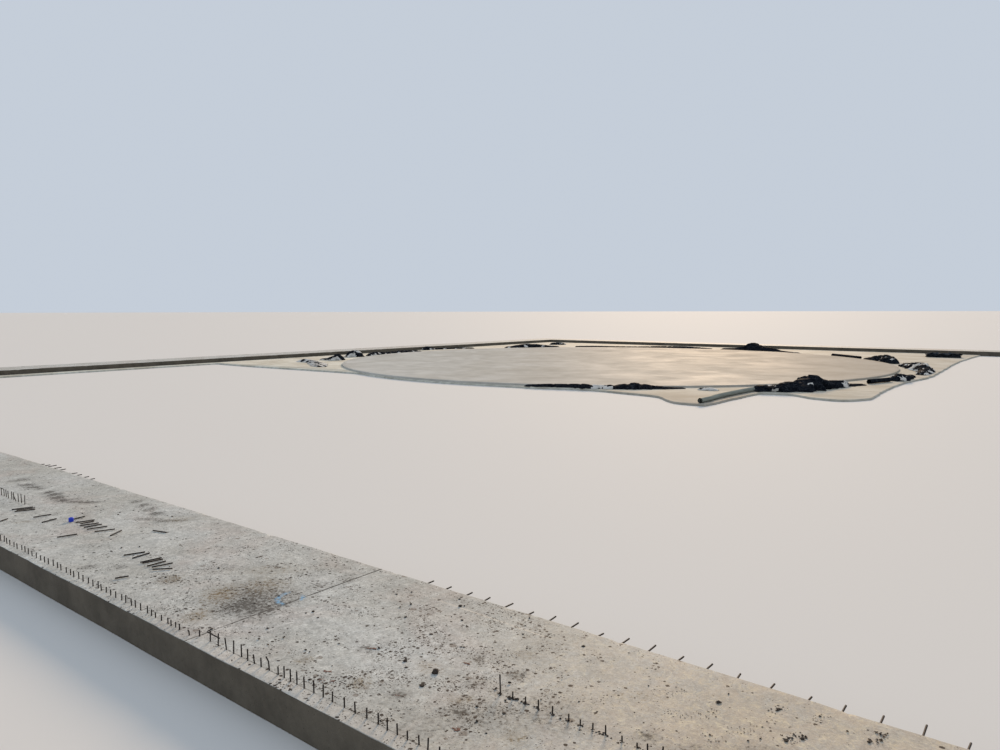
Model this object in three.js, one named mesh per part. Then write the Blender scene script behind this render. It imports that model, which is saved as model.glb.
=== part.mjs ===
// Foundation works of a round biogas digester, as a 1:2 scale model.
// A ring of cast strip footings encloses a square blinding pad, and the pad carries the round
// floor slab, the polythene bunched up around its rim and a rolled membrane.
// Sizes below are those of the real works, in millimetres. The group is scaled at the end.
import * as THREE from 'three';

const modelScale = 1 / 2;

// Strip footings
const insideWidth = 60500;
const insideLength = 70500;
const stripWidth = 3000;
const stripHeight = 400;
const crossJoints = [-15200, 0, 15200];
const sideBays = 5;

// Blinding pad, round floor slab and the blinding that shows along the left strip
const padHeight = 100;
const padNearEdge = -10900;
const padUnderRim = 100;
const padRightEdge = 15250;
const slabRadius = 20250;
const slabHeight = 100;
const slabCentre = new THREE.Vector2(-6750, 8750);
const slabSides = 120;
const marginWidth = 900;

// Starter bars, seen as a comb: square teeth on the lacing bar that ties their feet
const barDiameter = 12;
const lacingHeight = 10;
const edgeBarHeight = 90;
const edgeBarSpacing = 125;
const edgeBarSetbacks = [122, 122, 122, 170];
const innerRows = [
  { name: 'inner_starter_bars_right', from: 18740, bars: 92, spacing: 125, setback: 1280, height: 90 },
  { name: 'inner_starter_bars_left', from: 140, bars: 58, spacing: 125, setback: 1245, height: 170 },
];

// Membrane roll beside the pad's near corner, and the stack of folded sheeting in the far corner
const rollRadius = 120;
const rollCore = 45;
const rollLength = 6000;
const rollFarEnd = new THREE.Vector2(10080, -6050);
const rollTurn = 0.02;
const stackSize = new THREE.Vector3(2600, 1100, 420);
const stackCentre = new THREE.Vector2(13300, 29600);

// Clearance that touching pieces keep, 0.3 mm in the model
const gap = 0.6;

const insideX = insideWidth / 2;
const insideY = insideLength / 2;
const outsideY = insideY + stripWidth;
const padRest = padHeight + gap;
const crossEnds = [-insideX, ...crossJoints, insideX];
const crossBays = crossEnds.slice(1).map((x1, i) => [crossEnds[i], x1]);

function finish(color, roughness, metalness = 0) {
  return new THREE.MeshStandardMaterial({ color, roughness, metalness });
}

const castConcrete = () => finish('#b7b3aa', 0.9);
const blindingConcrete = () => finish('#cbc4b2', 0.95);
const floatedConcrete = () => finish('#cdc7b8', 0.55);
const blackPolythene = () => finish('#15171c', 0.35);
const paleMembrane = () => finish('#a9a69c', 0.6);
const rustySteel = () => finish('#4a3a30', 0.7, 0.6);

const works = new THREE.Group();

function addPiece(name, geometry, material, x = 0, y = 0, z = 0) {
  const mesh = new THREE.Mesh(geometry, material);
  mesh.name = name;
  mesh.position.set(x, y, z);
  works.add(mesh);
  return mesh;
}

// A block between two corners in plan, drawn in by half the clearance on each side
function block(name, x0, x1, y0, y1, z0, height, material) {
  const geometry = new THREE.BoxGeometry(x1 - x0 - gap, y1 - y0 - gap, height);
  addPiece(name, geometry, material, (x0 + x1) / 2, (y0 + y1) / 2, z0 + height / 2);
}

// The near and far strips fit between the side strips, which run through the corners
function crossStrip(side, y0) {
  for (const [i, [x0, x1]] of crossBays.entries()) {
    block(`${side}_strip_bay_${i + 1}`, x0, x1, y0, y0 + stripWidth, 0, stripHeight, castConcrete());
  }
}

function sideStrip(side, x0) {
  const bay = (2 * outsideY) / sideBays;
  for (let i = 0; i < sideBays; i += 1) {
    const y0 = -outsideY + i * bay;
    block(`${side}_strip_bay_${i + 1}`, x0, x0 + stripWidth, y0, y0 + bay, 0, stripHeight, castConcrete());
  }
}

// A point beside the slab, by its bearing from the slab's centre in degrees and how far out from the rim
function rimPoint(bearing, out) {
  const turn = THREE.MathUtils.degToRad(bearing);
  const reach = slabRadius + out;
  return new THREE.Vector2(slabCentre.x + reach * Math.cos(turn), slabCentre.y + reach * Math.sin(turn));
}

// Square on two sides. The near edge follows the round slab's rim where that passes it, and runs out
// to a worn corner where the membrane roll lies.
function blindingPad() {
  const left = -insideX + gap;
  const far = insideY - gap;
  const outline = new THREE.Shape();
  outline.moveTo(left, far);
  outline.lineTo(left, padNearEdge);
  outline.lineTo(-insideX + marginWidth + gap, padNearEdge);
  outline.splineThru([
    new THREE.Vector2(-25000, -10960),
    new THREE.Vector2(-20000, -10640),
    new THREE.Vector2(-16500, -10440),
    rimPoint(-110, padUnderRim),
  ]);
  for (let bearing = -105; bearing <= -80; bearing += 5) {
    const point = rimPoint(bearing, padUnderRim);
    outline.lineTo(point.x, point.y);
  }
  outline.splineThru([
    rimPoint(-75, 250),
    rimPoint(-70.5, 480),
    rimPoint(-66, 560),
    new THREE.Vector2(3200, -9900),
    new THREE.Vector2(5000, -10150),
    new THREE.Vector2(6700, -10400),
    new THREE.Vector2(7450, -10750),
    new THREE.Vector2(8200, -11600),
    new THREE.Vector2(9000, -12230),
    new THREE.Vector2(10300, -12270),
  ]);
  outline.lineTo(10480, -6300);
  outline.splineThru([
    new THREE.Vector2(11800, -5950),
    new THREE.Vector2(13100, -6800),
    new THREE.Vector2(14400, -6950),
    new THREE.Vector2(padRightEdge - 50, -5800),
    new THREE.Vector2(padRightEdge, -4200),
  ]);
  outline.splineThru([
    new THREE.Vector2(padRightEdge - 200, -1400),
    new THREE.Vector2(padRightEdge - 220, 3800),
    new THREE.Vector2(padRightEdge + 280, 8200),
    new THREE.Vector2(padRightEdge + 160, 13500),
    new THREE.Vector2(padRightEdge - 140, 22000),
    new THREE.Vector2(padRightEdge - 150, 28000),
    new THREE.Vector2(padRightEdge + 110, far),
  ]);
  const geometry = new THREE.ExtrudeGeometry(outline, {
    depth: padHeight,
    bevelEnabled: false,
    curveSegments: 3,
  });
  addPiece('blinding_pad', geometry, blindingConcrete());
}

function roundFloorSlab() {
  const geometry = new THREE.CylinderGeometry(slabRadius, slabRadius, slabHeight, slabSides);
  geometry.rotateX(Math.PI / 2);
  const z = padRest + slabHeight / 2;
  addPiece('round_floor_slab', geometry, floatedConcrete(), slabCentre.x, slabCentre.y, z);
}

// A row of bars that stand up from one lacing bar, drawn from its right end
function barComb(name, x0, y, bars, spacing, height) {
  const outline = new THREE.Shape();
  const half = barDiameter / 2;
  outline.moveTo(-half, 0);
  outline.lineTo((bars - 1) * spacing + half, 0);
  for (let i = bars - 1; i >= 0; i -= 1) {
    if (i < bars - 1) outline.lineTo(i * spacing + half, lacingHeight);
    outline.lineTo(i * spacing + half, height);
    outline.lineTo(i * spacing - half, height);
    if (i > 0) outline.lineTo(i * spacing - half, lacingHeight);
  }
  const geometry = new THREE.ExtrudeGeometry(outline, { depth: barDiameter, bevelEnabled: false });
  geometry.rotateX(Math.PI / 2);
  addPiece(name, geometry, rustySteel(), x0, y + half, stripHeight + gap);
}

function edgeStarterBars() {
  for (const [i, [x0, x1]] of crossBays.entries()) {
    const bars = Math.floor((x1 - x0) / edgeBarSpacing);
    const from = (x0 + x1 - (bars - 1) * edgeBarSpacing) / 2;
    const name = `edge_starter_bars_${i + 1}`;
    barComb(name, from, -outsideY + edgeBarSetbacks[i], bars, edgeBarSpacing, edgeBarHeight);
  }
}

function innerStarterBars() {
  for (const row of innerRows) {
    barComb(row.name, row.from, -outsideY + row.setback, row.bars, row.spacing, row.height);
  }
}

// A heap of bunched sheeting lies along the slab's rim. Each station of its route gives the
// bearing from the slab's centre in degrees, then metres: how far out from the rim its middle
// is, half its width, and its height.
const heaps = {
  sheet_scraps_left: [
    [218.2, 3.9, 0.35, 0.14], [219, 3.2, 0.4, 0.22], [221.5, 2.4, 0.45, 0.16], [225.5, 1.9, 0.5, 0.15],
    [229.5, 1.7, 0.5, 0.12], [233.5, 1.5, 0.4, 0.08],
  ],
  sheet_heap_left_corner: [
    [213.8, 2.7, 0.25, 0.1], [213.8, 2, 0.3, 0.2], [213.5, 1.3, 0.42, 0.5], [212.6, 0.85, 0.35, 0.28],
  ],
  sheet_heap_left: [
    [203.8, 2, 0.35, 0.25], [202.5, 1.6, 0.45, 0.55], [201.4, 1.2, 0.42, 0.5], [200.6, 0.95, 0.3, 0.2],
  ],
  sheet_band_left: [
    [199.2, 0.75, 0.3, 0.15], [196.3, 0.8, 0.35, 0.3], [191.7, 0.45, 0.35, 0.22], [187, 0.4, 0.33, 0.28],
    [182, 0.4, 0.3, 0.22], [178.5, 0.4, 0.25, 0.13],
  ],
  sheet_fold_left: [
    [172.4, 2.9, 0.3, 0.25], [170.6, 2.85, 0.35, 0.35], [168.4, 2.9, 0.28, 0.15], [162.8, 2.75, 0.22, 0.12],
    [157.6, 2.3, 0.2, 0.1],
  ],
  sheet_heap_far_left: [
    [150.5, 0.55, 0.4, 0.15], [146.2, 0.65, 0.55, 0.35], [142.5, 0.7, 0.6, 0.46], [138.1, 0.65, 0.55, 0.3],
    [133.7, 0.55, 0.4, 0.15],
  ],
  sheet_heap_far_corner: [[133.7, 7.8, 0.45, 0.18], [131.8, 7.7, 0.5, 0.25], [129.8, 7.6, 0.4, 0.15]],
  sheet_band_far: [
    [129, 1.8, 0.2, 0.1], [124.3, 1.75, 0.22, 0.12], [117.3, 0.75, 0.22, 0.12], [110.5, 0.4, 0.24, 0.15],
    [104.6, 0.35, 0.22, 0.12], [97, 0.35, 0.24, 0.16], [89.7, 0.35, 0.2, 0.1],
  ],
  sheet_heap_far: [
    [88.4, 1.2, 0.35, 0.15], [83.7, 1.3, 0.5, 0.25], [81.6, 1.4, 0.7, 0.55], [79.9, 1.4, 0.8, 0.78],
    [78.1, 1.3, 0.75, 0.65], [76.1, 1, 0.58, 0.45], [73.8, 0.75, 0.5, 0.42], [71.6, 0.7, 0.38, 0.28],
    [69, 0.75, 0.25, 0.14], [64.9, 0.9, 0.2, 0.08],
  ],
  sheet_roll_far_right: [
    [52.8, 0.35, 0.16, 0.26], [49.3, 0.35, 0.17, 0.3], [45.8, 0.35, 0.17, 0.3], [42.4, 0.35, 0.16, 0.26],
  ],
  sheet_heap_far_right: [
    [40.8, 0.4, 0.3, 0.12], [38.2, 0.5, 0.4, 0.3], [35.4, 0.65, 0.55, 0.52], [32.6, 0.7, 0.6, 0.56],
    [30.2, 0.75, 0.5, 0.45], [28, 0.8, 0.3, 0.18],
  ],
  sheet_heap_right: [
    [23.5, 0.75, 0.35, 0.2], [19.5, 0.85, 0.45, 0.3], [15.5, 1.15, 0.55, 0.44], [11.5, 1.35, 0.55, 0.46],
    [7.5, 1.45, 0.45, 0.3], [4, 1.45, 0.35, 0.22], [1, 1.45, 0.28, 0.14],
  ],
  sheet_strip_right: [
    [-2, 1.1, 0.25, 0.1], [-4.2, 1.2, 0.3, 0.12], [-6.5, 1.35, 0.3, 0.14], [-9.4, 1.45, 0.4, 0.3],
    [-11.3, 1.45, 0.42, 0.38], [-12.9, 1.4, 0.3, 0.2],
  ],
  sheet_roll_right: [[-14.3, 1.5, 0.15, 0.26], [-17, 1.5, 0.16, 0.28], [-19.9, 1.5, 0.15, 0.26]],
  sheet_heap_near_right: [
    [-21.7, 1.7, 0.2, 0.08], [-25.3, 1.6, 0.4, 0.28], [-28.7, 1.8, 0.5, 0.36], [-32.2, 1.95, 0.75, 0.72],
    [-35, 2.2, 0.75, 0.45], [-37.8, 2.35, 0.65, 0.38], [-40.2, 2, 0.4, 0.28],
  ],
  sheet_band_near: [
    [-48.8, 0.5, 0.16, 0.06], [-50.7, 0.5, 0.2, 0.08], [-53, 0.5, 0.3, 0.16], [-54.6, 0.5, 0.36, 0.24],
    [-56.1, 0.52, 0.4, 0.3], [-58.3, 0.55, 0.36, 0.2], [-60.7, 0.48, 0.32, 0.18], [-63.1, 0.36, 0.28, 0.2],
    [-65.7, 0.29, 0.2, 0.17], [-68.5, 0.27, 0.18, 0.15], [-71.8, 0.27, 0.16, 0.07],
  ],
};

// Half width and height, as shares, of the points of a heap's section from edge to edge
const heapSection = [[-1, 0], [-0.82, 0.55], [-0.3, 0.96], [0.15, 1], [0.7, 0.7], [1, 0]];
const stationsPerStretch = 2;

function heapGeometry(route) {
  const metre = 1000;
  const places = route.map(([bearing, out]) => rimPoint(bearing, out * metre));
  const middle = new THREE.CatmullRomCurve3(places.map(({ x, y }) => new THREE.Vector3(x, y, 0)));
  const size = new THREE.CatmullRomCurve3(
    route.map(([, , halfWidth, height]) => new THREE.Vector3(halfWidth * metre, height * metre, 0)),
  );
  const steps = (route.length - 1) * stationsPerStretch;
  const ring = heapSection.length;
  const positions = [];
  for (let i = 0; i <= steps; i += 1) {
    const at = middle.getPoint(i / steps);
    const along = middle.getTangent(i / steps);
    const { x: halfWidth, y: height } = size.getPoint(i / steps);
    for (const [across, up] of heapSection) {
      positions.push(at.x + along.y * across * halfWidth, at.y - along.x * across * halfWidth, up * height);
    }
  }
  const faces = [];
  for (let i = 0; i < steps; i += 1) {
    for (let j = 0; j < ring; j += 1) {
      const a = i * ring + j;
      const b = i * ring + ((j + 1) % ring);
      faces.push(a, b, a + ring, b, b + ring, a + ring);
    }
  }
  const last = steps * ring;
  for (let j = 1; j < ring - 1; j += 1) {
    faces.push(0, j + 1, j);
    faces.push(last, last + j, last + j + 1);
  }
  const geometry = new THREE.BufferGeometry();
  geometry.setAttribute('position', new THREE.Float32BufferAttribute(positions, 3));
  geometry.setIndex(faces);
  return geometry;
}

function bunchedSheeting() {
  for (const [name, route] of Object.entries(heaps)) {
    addPiece(name, heapGeometry(route), blackPolythene(), 0, 0, padRest);
  }
}

// The membrane is wound on nothing, so the roll is a thick tube with an open core
function membraneRoll() {
  const section = new THREE.Shape();
  section.absarc(0, 0, rollRadius, 0, 2 * Math.PI);
  const core = new THREE.Path();
  core.absarc(0, 0, rollCore, 0, 2 * Math.PI, true);
  section.holes.push(core);
  const geometry = new THREE.ExtrudeGeometry(section, {
    depth: rollLength,
    bevelEnabled: false,
    curveSegments: 16,
  });
  geometry.rotateX(Math.PI / 2);
  const z = padRest + rollRadius;
  const mesh = addPiece('membrane_roll', geometry, paleMembrane(), rollFarEnd.x, rollFarEnd.y, z);
  mesh.rotation.z = -rollTurn;
}

function foldedSheetStack() {
  const { x, y, z } = stackSize;
  const geometry = new THREE.BoxGeometry(x, y, z);
  addPiece('folded_sheet_stack', geometry, blackPolythene(), stackCentre.x, stackCentre.y, padRest + z / 2);
}

crossStrip('near', -outsideY);
crossStrip('far', insideY);
sideStrip('left', -insideX - stripWidth);
sideStrip('right', insideX);
block(
  'left_blinding_margin',
  -insideX,
  -insideX + marginWidth,
  -insideY,
  padNearEdge,
  0,
  padHeight,
  blindingConcrete(),
);
blindingPad();
roundFloorSlab();
edgeStarterBars();
innerStarterBars();
bunchedSheeting();
membraneRoll();
foldedSheetStack();

works.scale.setScalar(modelScale);

export default works;
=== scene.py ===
"""Foundation works of a round digester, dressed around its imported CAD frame."""

import math

import bmesh
import bpy
import numpy as np
from mathutils import Matrix, Vector


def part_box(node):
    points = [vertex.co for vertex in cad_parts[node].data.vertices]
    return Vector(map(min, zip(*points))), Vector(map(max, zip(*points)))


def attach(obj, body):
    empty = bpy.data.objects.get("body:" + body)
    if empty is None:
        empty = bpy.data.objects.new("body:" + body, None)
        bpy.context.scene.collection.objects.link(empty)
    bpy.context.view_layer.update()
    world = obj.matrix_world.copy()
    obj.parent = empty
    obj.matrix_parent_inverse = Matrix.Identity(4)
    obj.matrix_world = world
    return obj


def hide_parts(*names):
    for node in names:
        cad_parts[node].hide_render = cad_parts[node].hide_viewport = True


bl_info = {
    "name": "Digester Foundation Works",
    "version": (1, 0, 0),
    "blender": (4, 5, 0),
    "location": "View3D > Sidebar > Foundation",
    "description": "Cast strips, blinding pad, floor slab, starter bars and bunched sheeting",
    "category": "Object",
}

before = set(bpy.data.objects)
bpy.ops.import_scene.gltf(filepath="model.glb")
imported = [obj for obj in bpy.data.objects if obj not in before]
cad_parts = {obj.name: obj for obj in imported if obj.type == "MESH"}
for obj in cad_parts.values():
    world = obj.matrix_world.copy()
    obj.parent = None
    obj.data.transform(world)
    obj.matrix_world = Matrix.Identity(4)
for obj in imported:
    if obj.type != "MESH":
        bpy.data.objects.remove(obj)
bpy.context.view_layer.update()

STRIP_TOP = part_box("near_strip_bay_1")[1].z
PAD_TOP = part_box("blinding_pad")[1].z
SLAB_LOW, SLAB_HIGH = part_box("round_floor_slab")
SLAB_CENTRE = ((SLAB_LOW.x + SLAB_HIGH.x) / 2, (SLAB_LOW.y + SLAB_HIGH.y) / 2)
SLAB_RADIUS = (SLAB_HIGH.x - SLAB_LOW.x) / 2
SLAB_TOP = SLAB_HIGH.z
MODEL_SCALE = 0.5
# The joint between the near strip's last two bays, in x
JOINT_X = 7.6
# How far the photo's view is turned from +Y towards -X, and which way its right lies in plan
VIEW_TURN = math.radians(38.3)
RIGHTWARD = (0.785, 0.62)


def linear(code):
    """A colour from its sRGB hex code, turned to linear light."""
    parts = [int(code[i:i + 2], 16) / 255 for i in (1, 3, 5)]
    return (*(p / 12.92 if p <= 0.04045 else ((p + 0.055) / 1.055) ** 2.4 for p in parts), 1.0)


# Settings that a user would change

COLOUR = {"subtype": "COLOR", "size": 4, "min": 0, "max": 1}
LENGTH = {"subtype": "DISTANCE", "unit": "LENGTH"}
ANGLE = {"subtype": "ANGLE", "unit": "ROTATION"}


class ConcreteSettings(bpy.types.PropertyGroup):
    cast_colour: bpy.props.FloatVectorProperty(
        name="Cast", description="Trowelled top of the strips", default=linear("#c1c5c3"), **COLOUR)
    # Darker than the concrete's own: partly painted shade, as the sides face away from the key light
    formed_shaded_colour: bpy.props.FloatVectorProperty(
        name="Formed face", description="Damp side that was cast against boards",
        default=linear("#665f54"), **COLOUR)
    blinding_colour: bpy.props.FloatVectorProperty(
        name="Blinding", description="Rough pad under the floor slab", default=linear("#c8c9bf"), **COLOUR)
    floated_colour: bpy.props.FloatVectorProperty(
        name="Floated", description="Power-floated floor slab", default=linear("#c1c1bc"), **COLOUR)
    crumbs: bpy.props.IntProperty(
        name="Mud crumbs", description="Crumbs of mud left on the near strip", default=1900, min=0,
        max=12000)


class SteelSettings(bpy.types.PropertyGroup):
    diameter: bpy.props.FloatProperty(
        name="Bar", description="Diameter of a starter bar over its ribs", default=0.0068, min=0.003,
        max=0.02, **LENGTH)
    spacing: bpy.props.FloatProperty(
        name="Spacing", description="Mean distance between starter bars", default=0.067, min=0.03,
        max=0.3, **LENGTH)
    lean: bpy.props.FloatProperty(
        name="Lean", description="How far a bar usually leans", default=math.radians(2), min=0,
        max=0.5, **ANGLE)
    colour: bpy.props.FloatVectorProperty(
        name="Rust", description="Rusted steel", default=linear("#2d221d"), **COLOUR)


class FilmSettings(bpy.types.PropertyGroup):
    # The film's black is lifted and blued a little: painted reflection of the sky, as its gloss is nearly
    # off
    colour: bpy.props.FloatVectorProperty(
        name="Film", description="Black face of the polythene", default=linear("#14171d"), **COLOUR)
    reverse: bpy.props.FloatVectorProperty(
        name="Reverse", description="White face of the polythene", default=linear("#cfcdc8"), **COLOUR)
    membrane: bpy.props.FloatVectorProperty(
        name="Membrane", description="Rolled membrane", default=linear("#90958d"), **COLOUR)
    cell: bpy.props.FloatProperty(
        name="Cell", description="Mesh spacing on the bunched film", default=0.024, min=0.01, max=0.1,
        **LENGTH)


class StageSettings(bpy.types.PropertyGroup):
    floor: bpy.props.FloatVectorProperty(
        name="Floor", description="Pale studio floor", default=linear("#d2d2d0"), **COLOUR)
    sky: bpy.props.FloatVectorProperty(
        name="Sky", description="Even light from all round", default=linear("#e1ebf8"), **COLOUR)
    sun_height: bpy.props.FloatProperty(
        name="Key height", description="Key light above the horizon", default=math.radians(20.3),
        min=0.05, max=1.5, **ANGLE)
    sun_turn: bpy.props.FloatProperty(
        name="Key turn", description="Key light's bearing from +Y towards -X",
        default=math.radians(23.6), min=-3.2, max=3.2, **ANGLE)
    lens: bpy.props.FloatProperty(
        name="Lens", description="Focal length on a 36 mm sensor", default=27.04, min=10, max=200,
        subtype="DISTANCE_CAMERA")


# Shape helpers


def unit(rows):
    """Each row as a vector one metre long."""
    return rows / np.linalg.norm(rows, axis=1)[:, None]


def run_of(path):
    """How far along a path each of its points lies."""
    return np.concatenate([[0], np.cumsum(np.linalg.norm(np.diff(path, axis=0), axis=1))])


def turned(x, y, along, across, way=RIGHTWARD):
    """A place in plan, so far along and across from another where way points along."""
    c, s = way
    return x + c * along - s * across, y + s * along + c * across


def facing(turn):
    """The way that an angle from +X points, in plan."""
    return math.cos(turn), math.sin(turn)


def row_of(name):
    """Where a row of bars stands, in y."""
    low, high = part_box(name)
    return (low.y + high.y) / 2


def ripple(points, size, seed, waves=9, sharp=False):
    """A random field of about -1 to 1 with features about size metres across; sharp gives creases."""
    rng = np.random.default_rng(seed)
    way = unit(rng.normal(size=(waves, points.shape[1])))
    way *= (2 * np.pi / size * rng.uniform(0.6, 1.5, waves))[:, None]
    phase = points @ way.T + rng.uniform(0, 2 * np.pi, waves)
    if sharp:
        wave = 4 * np.abs((phase / (2 * np.pi)) % 1 - 0.5) - 1
        return wave.sum(1) / math.sqrt(waves / 3)
    return np.sin(phase).sum(1) / math.sqrt(waves / 2)


def billow(points, size, seed):
    """Round lobes with sharp valleys between them, from 0 to 1, the widest about size metres across."""
    rng = np.random.default_rng(seed)
    total, share = 0, 0
    for scale, weight in ((1.0, 0.5), (0.55, 0.3), (0.3, 0.2)):
        for _ in range(2):
            way = rng.normal(size=points.shape[1])
            way *= math.pi / (size * scale * np.linalg.norm(way))
            total = total + weight * np.abs(np.sin(points @ way + rng.uniform(0, 6.3)))
            share += weight
    return total / share


def grid_faces(rows, columns, closed=False):
    """Quads between rows of points; closed joins each row's last point to its first."""
    last = columns if closed else columns - 1
    i, j = np.meshgrid(np.arange(rows - 1), np.arange(last), indexing="ij")
    a = (i * columns + j).ravel()
    b = (i * columns + (j + 1) % columns).ravel()
    return np.stack([a, b, b + columns, a + columns], 1).tolist()


def tube_faces(rows, columns):
    """Quads of a tube between rows of points, with a face over each end."""
    last = (rows - 1) * columns
    ends = [list(range(columns))[::-1], list(range(last, last + columns))]
    return grid_faces(rows, columns, closed=True) + ends


def merged(parts):
    """Several (points, faces) as one."""
    points, faces, base = [], [], 0
    for p, f in parts:
        points.append(np.asarray(p, float))
        faces.extend([[i + base for i in face] for face in f])
        base += len(p)
    return np.concatenate(points), faces


def rod(path, radius, pitch, sides=8):
    """A closed round bar along a path, with ribs rolled into it at a pitch."""
    path = np.asarray(path, float)
    reach = run_of(path)
    rings = max(3, 2 * int(reach[-1] / pitch) + 1)
    at = np.linspace(0, reach[-1], rings)
    centre = np.stack([np.interp(at, reach, path[:, k]) for k in range(3)], 1)
    along = unit(np.gradient(centre, axis=0))
    # Any way that isn't close to the bar's own will do for its first side
    side = unit(np.cross(along, (0.31, 0.17, 0.94) if abs(along[0, 2]) < 0.8 else (1.0, 0.2, 0.1)))
    other = np.cross(along, side)
    thick = np.full(rings, radius)
    thick[1::2] *= 1.16
    turn = np.arange(sides) * 2 * np.pi / sides
    ring = np.cos(turn)[None, :, None] * side[:, None] + np.sin(turn)[None, :, None] * other[:, None]
    points = centre[:, None] + thick[:, None, None] * ring
    return points.reshape(-1, 3), tube_faces(rings, sides)


def place_object(name, data):
    """A new object in the scene."""
    made = bpy.data.objects.new(name, data)
    bpy.context.scene.collection.objects.link(made)
    return made


def piece(name, shape, materials, replaced=(), crease=None, looks=None):
    """Makes a mesh piece that rides on the works and stands for its CAD nodes."""
    points, faces = shape
    mesh = bpy.data.meshes.new(name)
    mesh.from_pydata(np.asarray(points, float).tolist(), [], faces)
    for material in materials:
        mesh.materials.append(material)
    if looks is not None:
        mesh.polygons.foreach_set("material_index", np.asarray(looks, np.int32))
    if crease is not None:
        mesh.polygons.foreach_set("use_smooth", np.ones(len(mesh.polygons), bool))
        mesh.set_sharp_from_angle(angle=math.radians(crease))
    mesh.update()
    made = place_object(name, mesh)
    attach(made, "root")
    if replaced:
        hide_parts(*replaced)
    return made


def paint(made, **fields):
    """Keeps numbers at a piece's points for its material to read."""
    for key, values in fields.items():
        layer = made.data.attributes.new(key, "FLOAT", "POINT")
        layer.data.foreach_set("value", np.asarray(values, np.float32))


# Material helpers


def node(tree, kind, *values, out=None, **named):
    """Adds a node and gives one of its outputs, the first in use unless out names another.

    Values, or the sockets that feed them, go to the inputs in use, in order. A name with a capital
    is an input too, and any other name is a setting.
    """
    made = tree.nodes.new("ShaderNode" + kind)
    for key in [key for key in named if key.islower()]:
        setattr(made, key, named.pop(key))
    used = [socket for socket in made.inputs if socket.enabled]
    fed = [*zip(used, values), *((made.inputs[key.replace("_", " ")], named[key]) for key in named)]
    for socket, value in fed:
        if isinstance(value, bpy.types.NodeSocket):
            tree.links.new(value, socket)
        else:
            socket.default_value = value
    return made.outputs[out] if out else next((s for s in made.outputs if s.enabled), None)


def begin(name):
    """A new material, its node tree and the socket that gives places in metres."""
    material = bpy.data.materials.new(name)
    material.use_nodes = True
    tree = material.node_tree
    tree.nodes.clear()
    return material, tree, node(tree, "TexCoord", out="Object")


def close(material, **sockets):
    """Ends a material in one Principled shader, and gives the material."""
    tree = material.node_tree
    node(tree, "OutputMaterial", node(tree, "BsdfPrincipled", **sockets))
    return material


def dimmed(colour, *shares):
    """A colour with its red, green and blue each scaled."""
    return (*(part * share for part, share in zip(colour, shares)), 1.0)


def between(tree, value, least, most, low, high):
    """A colour that goes from low to high as a value goes from least to most."""
    share = node(tree, "MapRange", value, least, most)
    return node(tree, "Mix", share, low, high, data_type="RGBA")


def shaded(tree, colour, *layers):
    """A colour scaled by patterns in turn: each is a value, its range, and the shades at its ends."""
    for layer in layers:
        colour = node(tree, "VectorMath", colour, node(tree, "MapRange", *layer), operation="SCALE")
    return colour


def layered(tree, colour, *layers):
    """A colour with tones laid over it in turn, each as strongly as the product of its masks."""
    for tone, share, *masks in layers:
        for mask in masks:
            share = node(tree, "Math", share, mask, operation="MULTIPLY")
        colour = node(tree, "Mix", share, colour, linear(tone), data_type="RGBA")
    return colour


def line_mask(tree, value, middle, core, edge, strength):
    """A line where a value is near its middle: at full strength out to core, and gone at edge."""
    off = node(tree, "Math", value, middle, operation="SUBTRACT")
    off = node(tree, "Math", off, operation="ABSOLUTE")
    return node(tree, "MapRange", off, core, edge, strength, 0.0)


def spray_arcs(tree, place, colour):
    """Blue arcs that a surveyor sprayed beside the joint: radius, and the way that the arc bulges."""
    centre = (7.575, -18.345, STRIP_TOP)
    broken = node(tree, "MapRange", node(tree, "TexNoise", place, 45.0, 4.0), 0.38, 0.6)
    offset = node(tree, "VectorMath", place, centre, operation="SUBTRACT")
    away = node(tree, "VectorMath", place, centre, operation="DISTANCE")
    for radius, bulge in ((0.12, (-0.7, -0.7, 0)), (0.04, (0.65, 0.75, 0))):
        along = node(tree, "VectorMath", offset, bulge, operation="DOT_PRODUCT")
        there = node(tree, "MapRange", along, radius * 0.4, radius * 0.65)
        line = line_mask(tree, away, radius, 0.008, 0.024, 0.95)
        colour = layered(tree, colour, ("#7ba6c6", line, there, broken))
    return colour


def specks(tree, place, scale, least, most, kept, colour, tone, strength):
    """Scatters dark dabs over a colour: one to a cell, each with a size of its own."""
    shake = node(tree, "TexNoise", place, scale * 3.0, 3.0, out="Color")
    shake = node(tree, "VectorMath", shake, 0.35 / scale, operation="SCALE")
    shaken = node(tree, "VectorMath", place, shake, operation="ADD")
    cells = node(tree, "TexVoronoi", shaken, scale, voronoi_dimensions="2D")
    luck = node(tree, "SeparateColor", cells.node.outputs["Color"]).node.outputs
    size = node(tree, "Math", luck["Red"], 2.0, operation="POWER")
    size = node(tree, "MapRange", size, 0.0, 1.0, least, most)
    near = node(tree, "Math", size, cells, operation="SUBTRACT")
    dab = node(tree, "MapRange", near, -0.03, 0.03)
    there = node(tree, "Math", luck["Green"], kept, operation="LESS_THAN")
    return layered(tree, colour, (tone, dab, there, strength))


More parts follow.
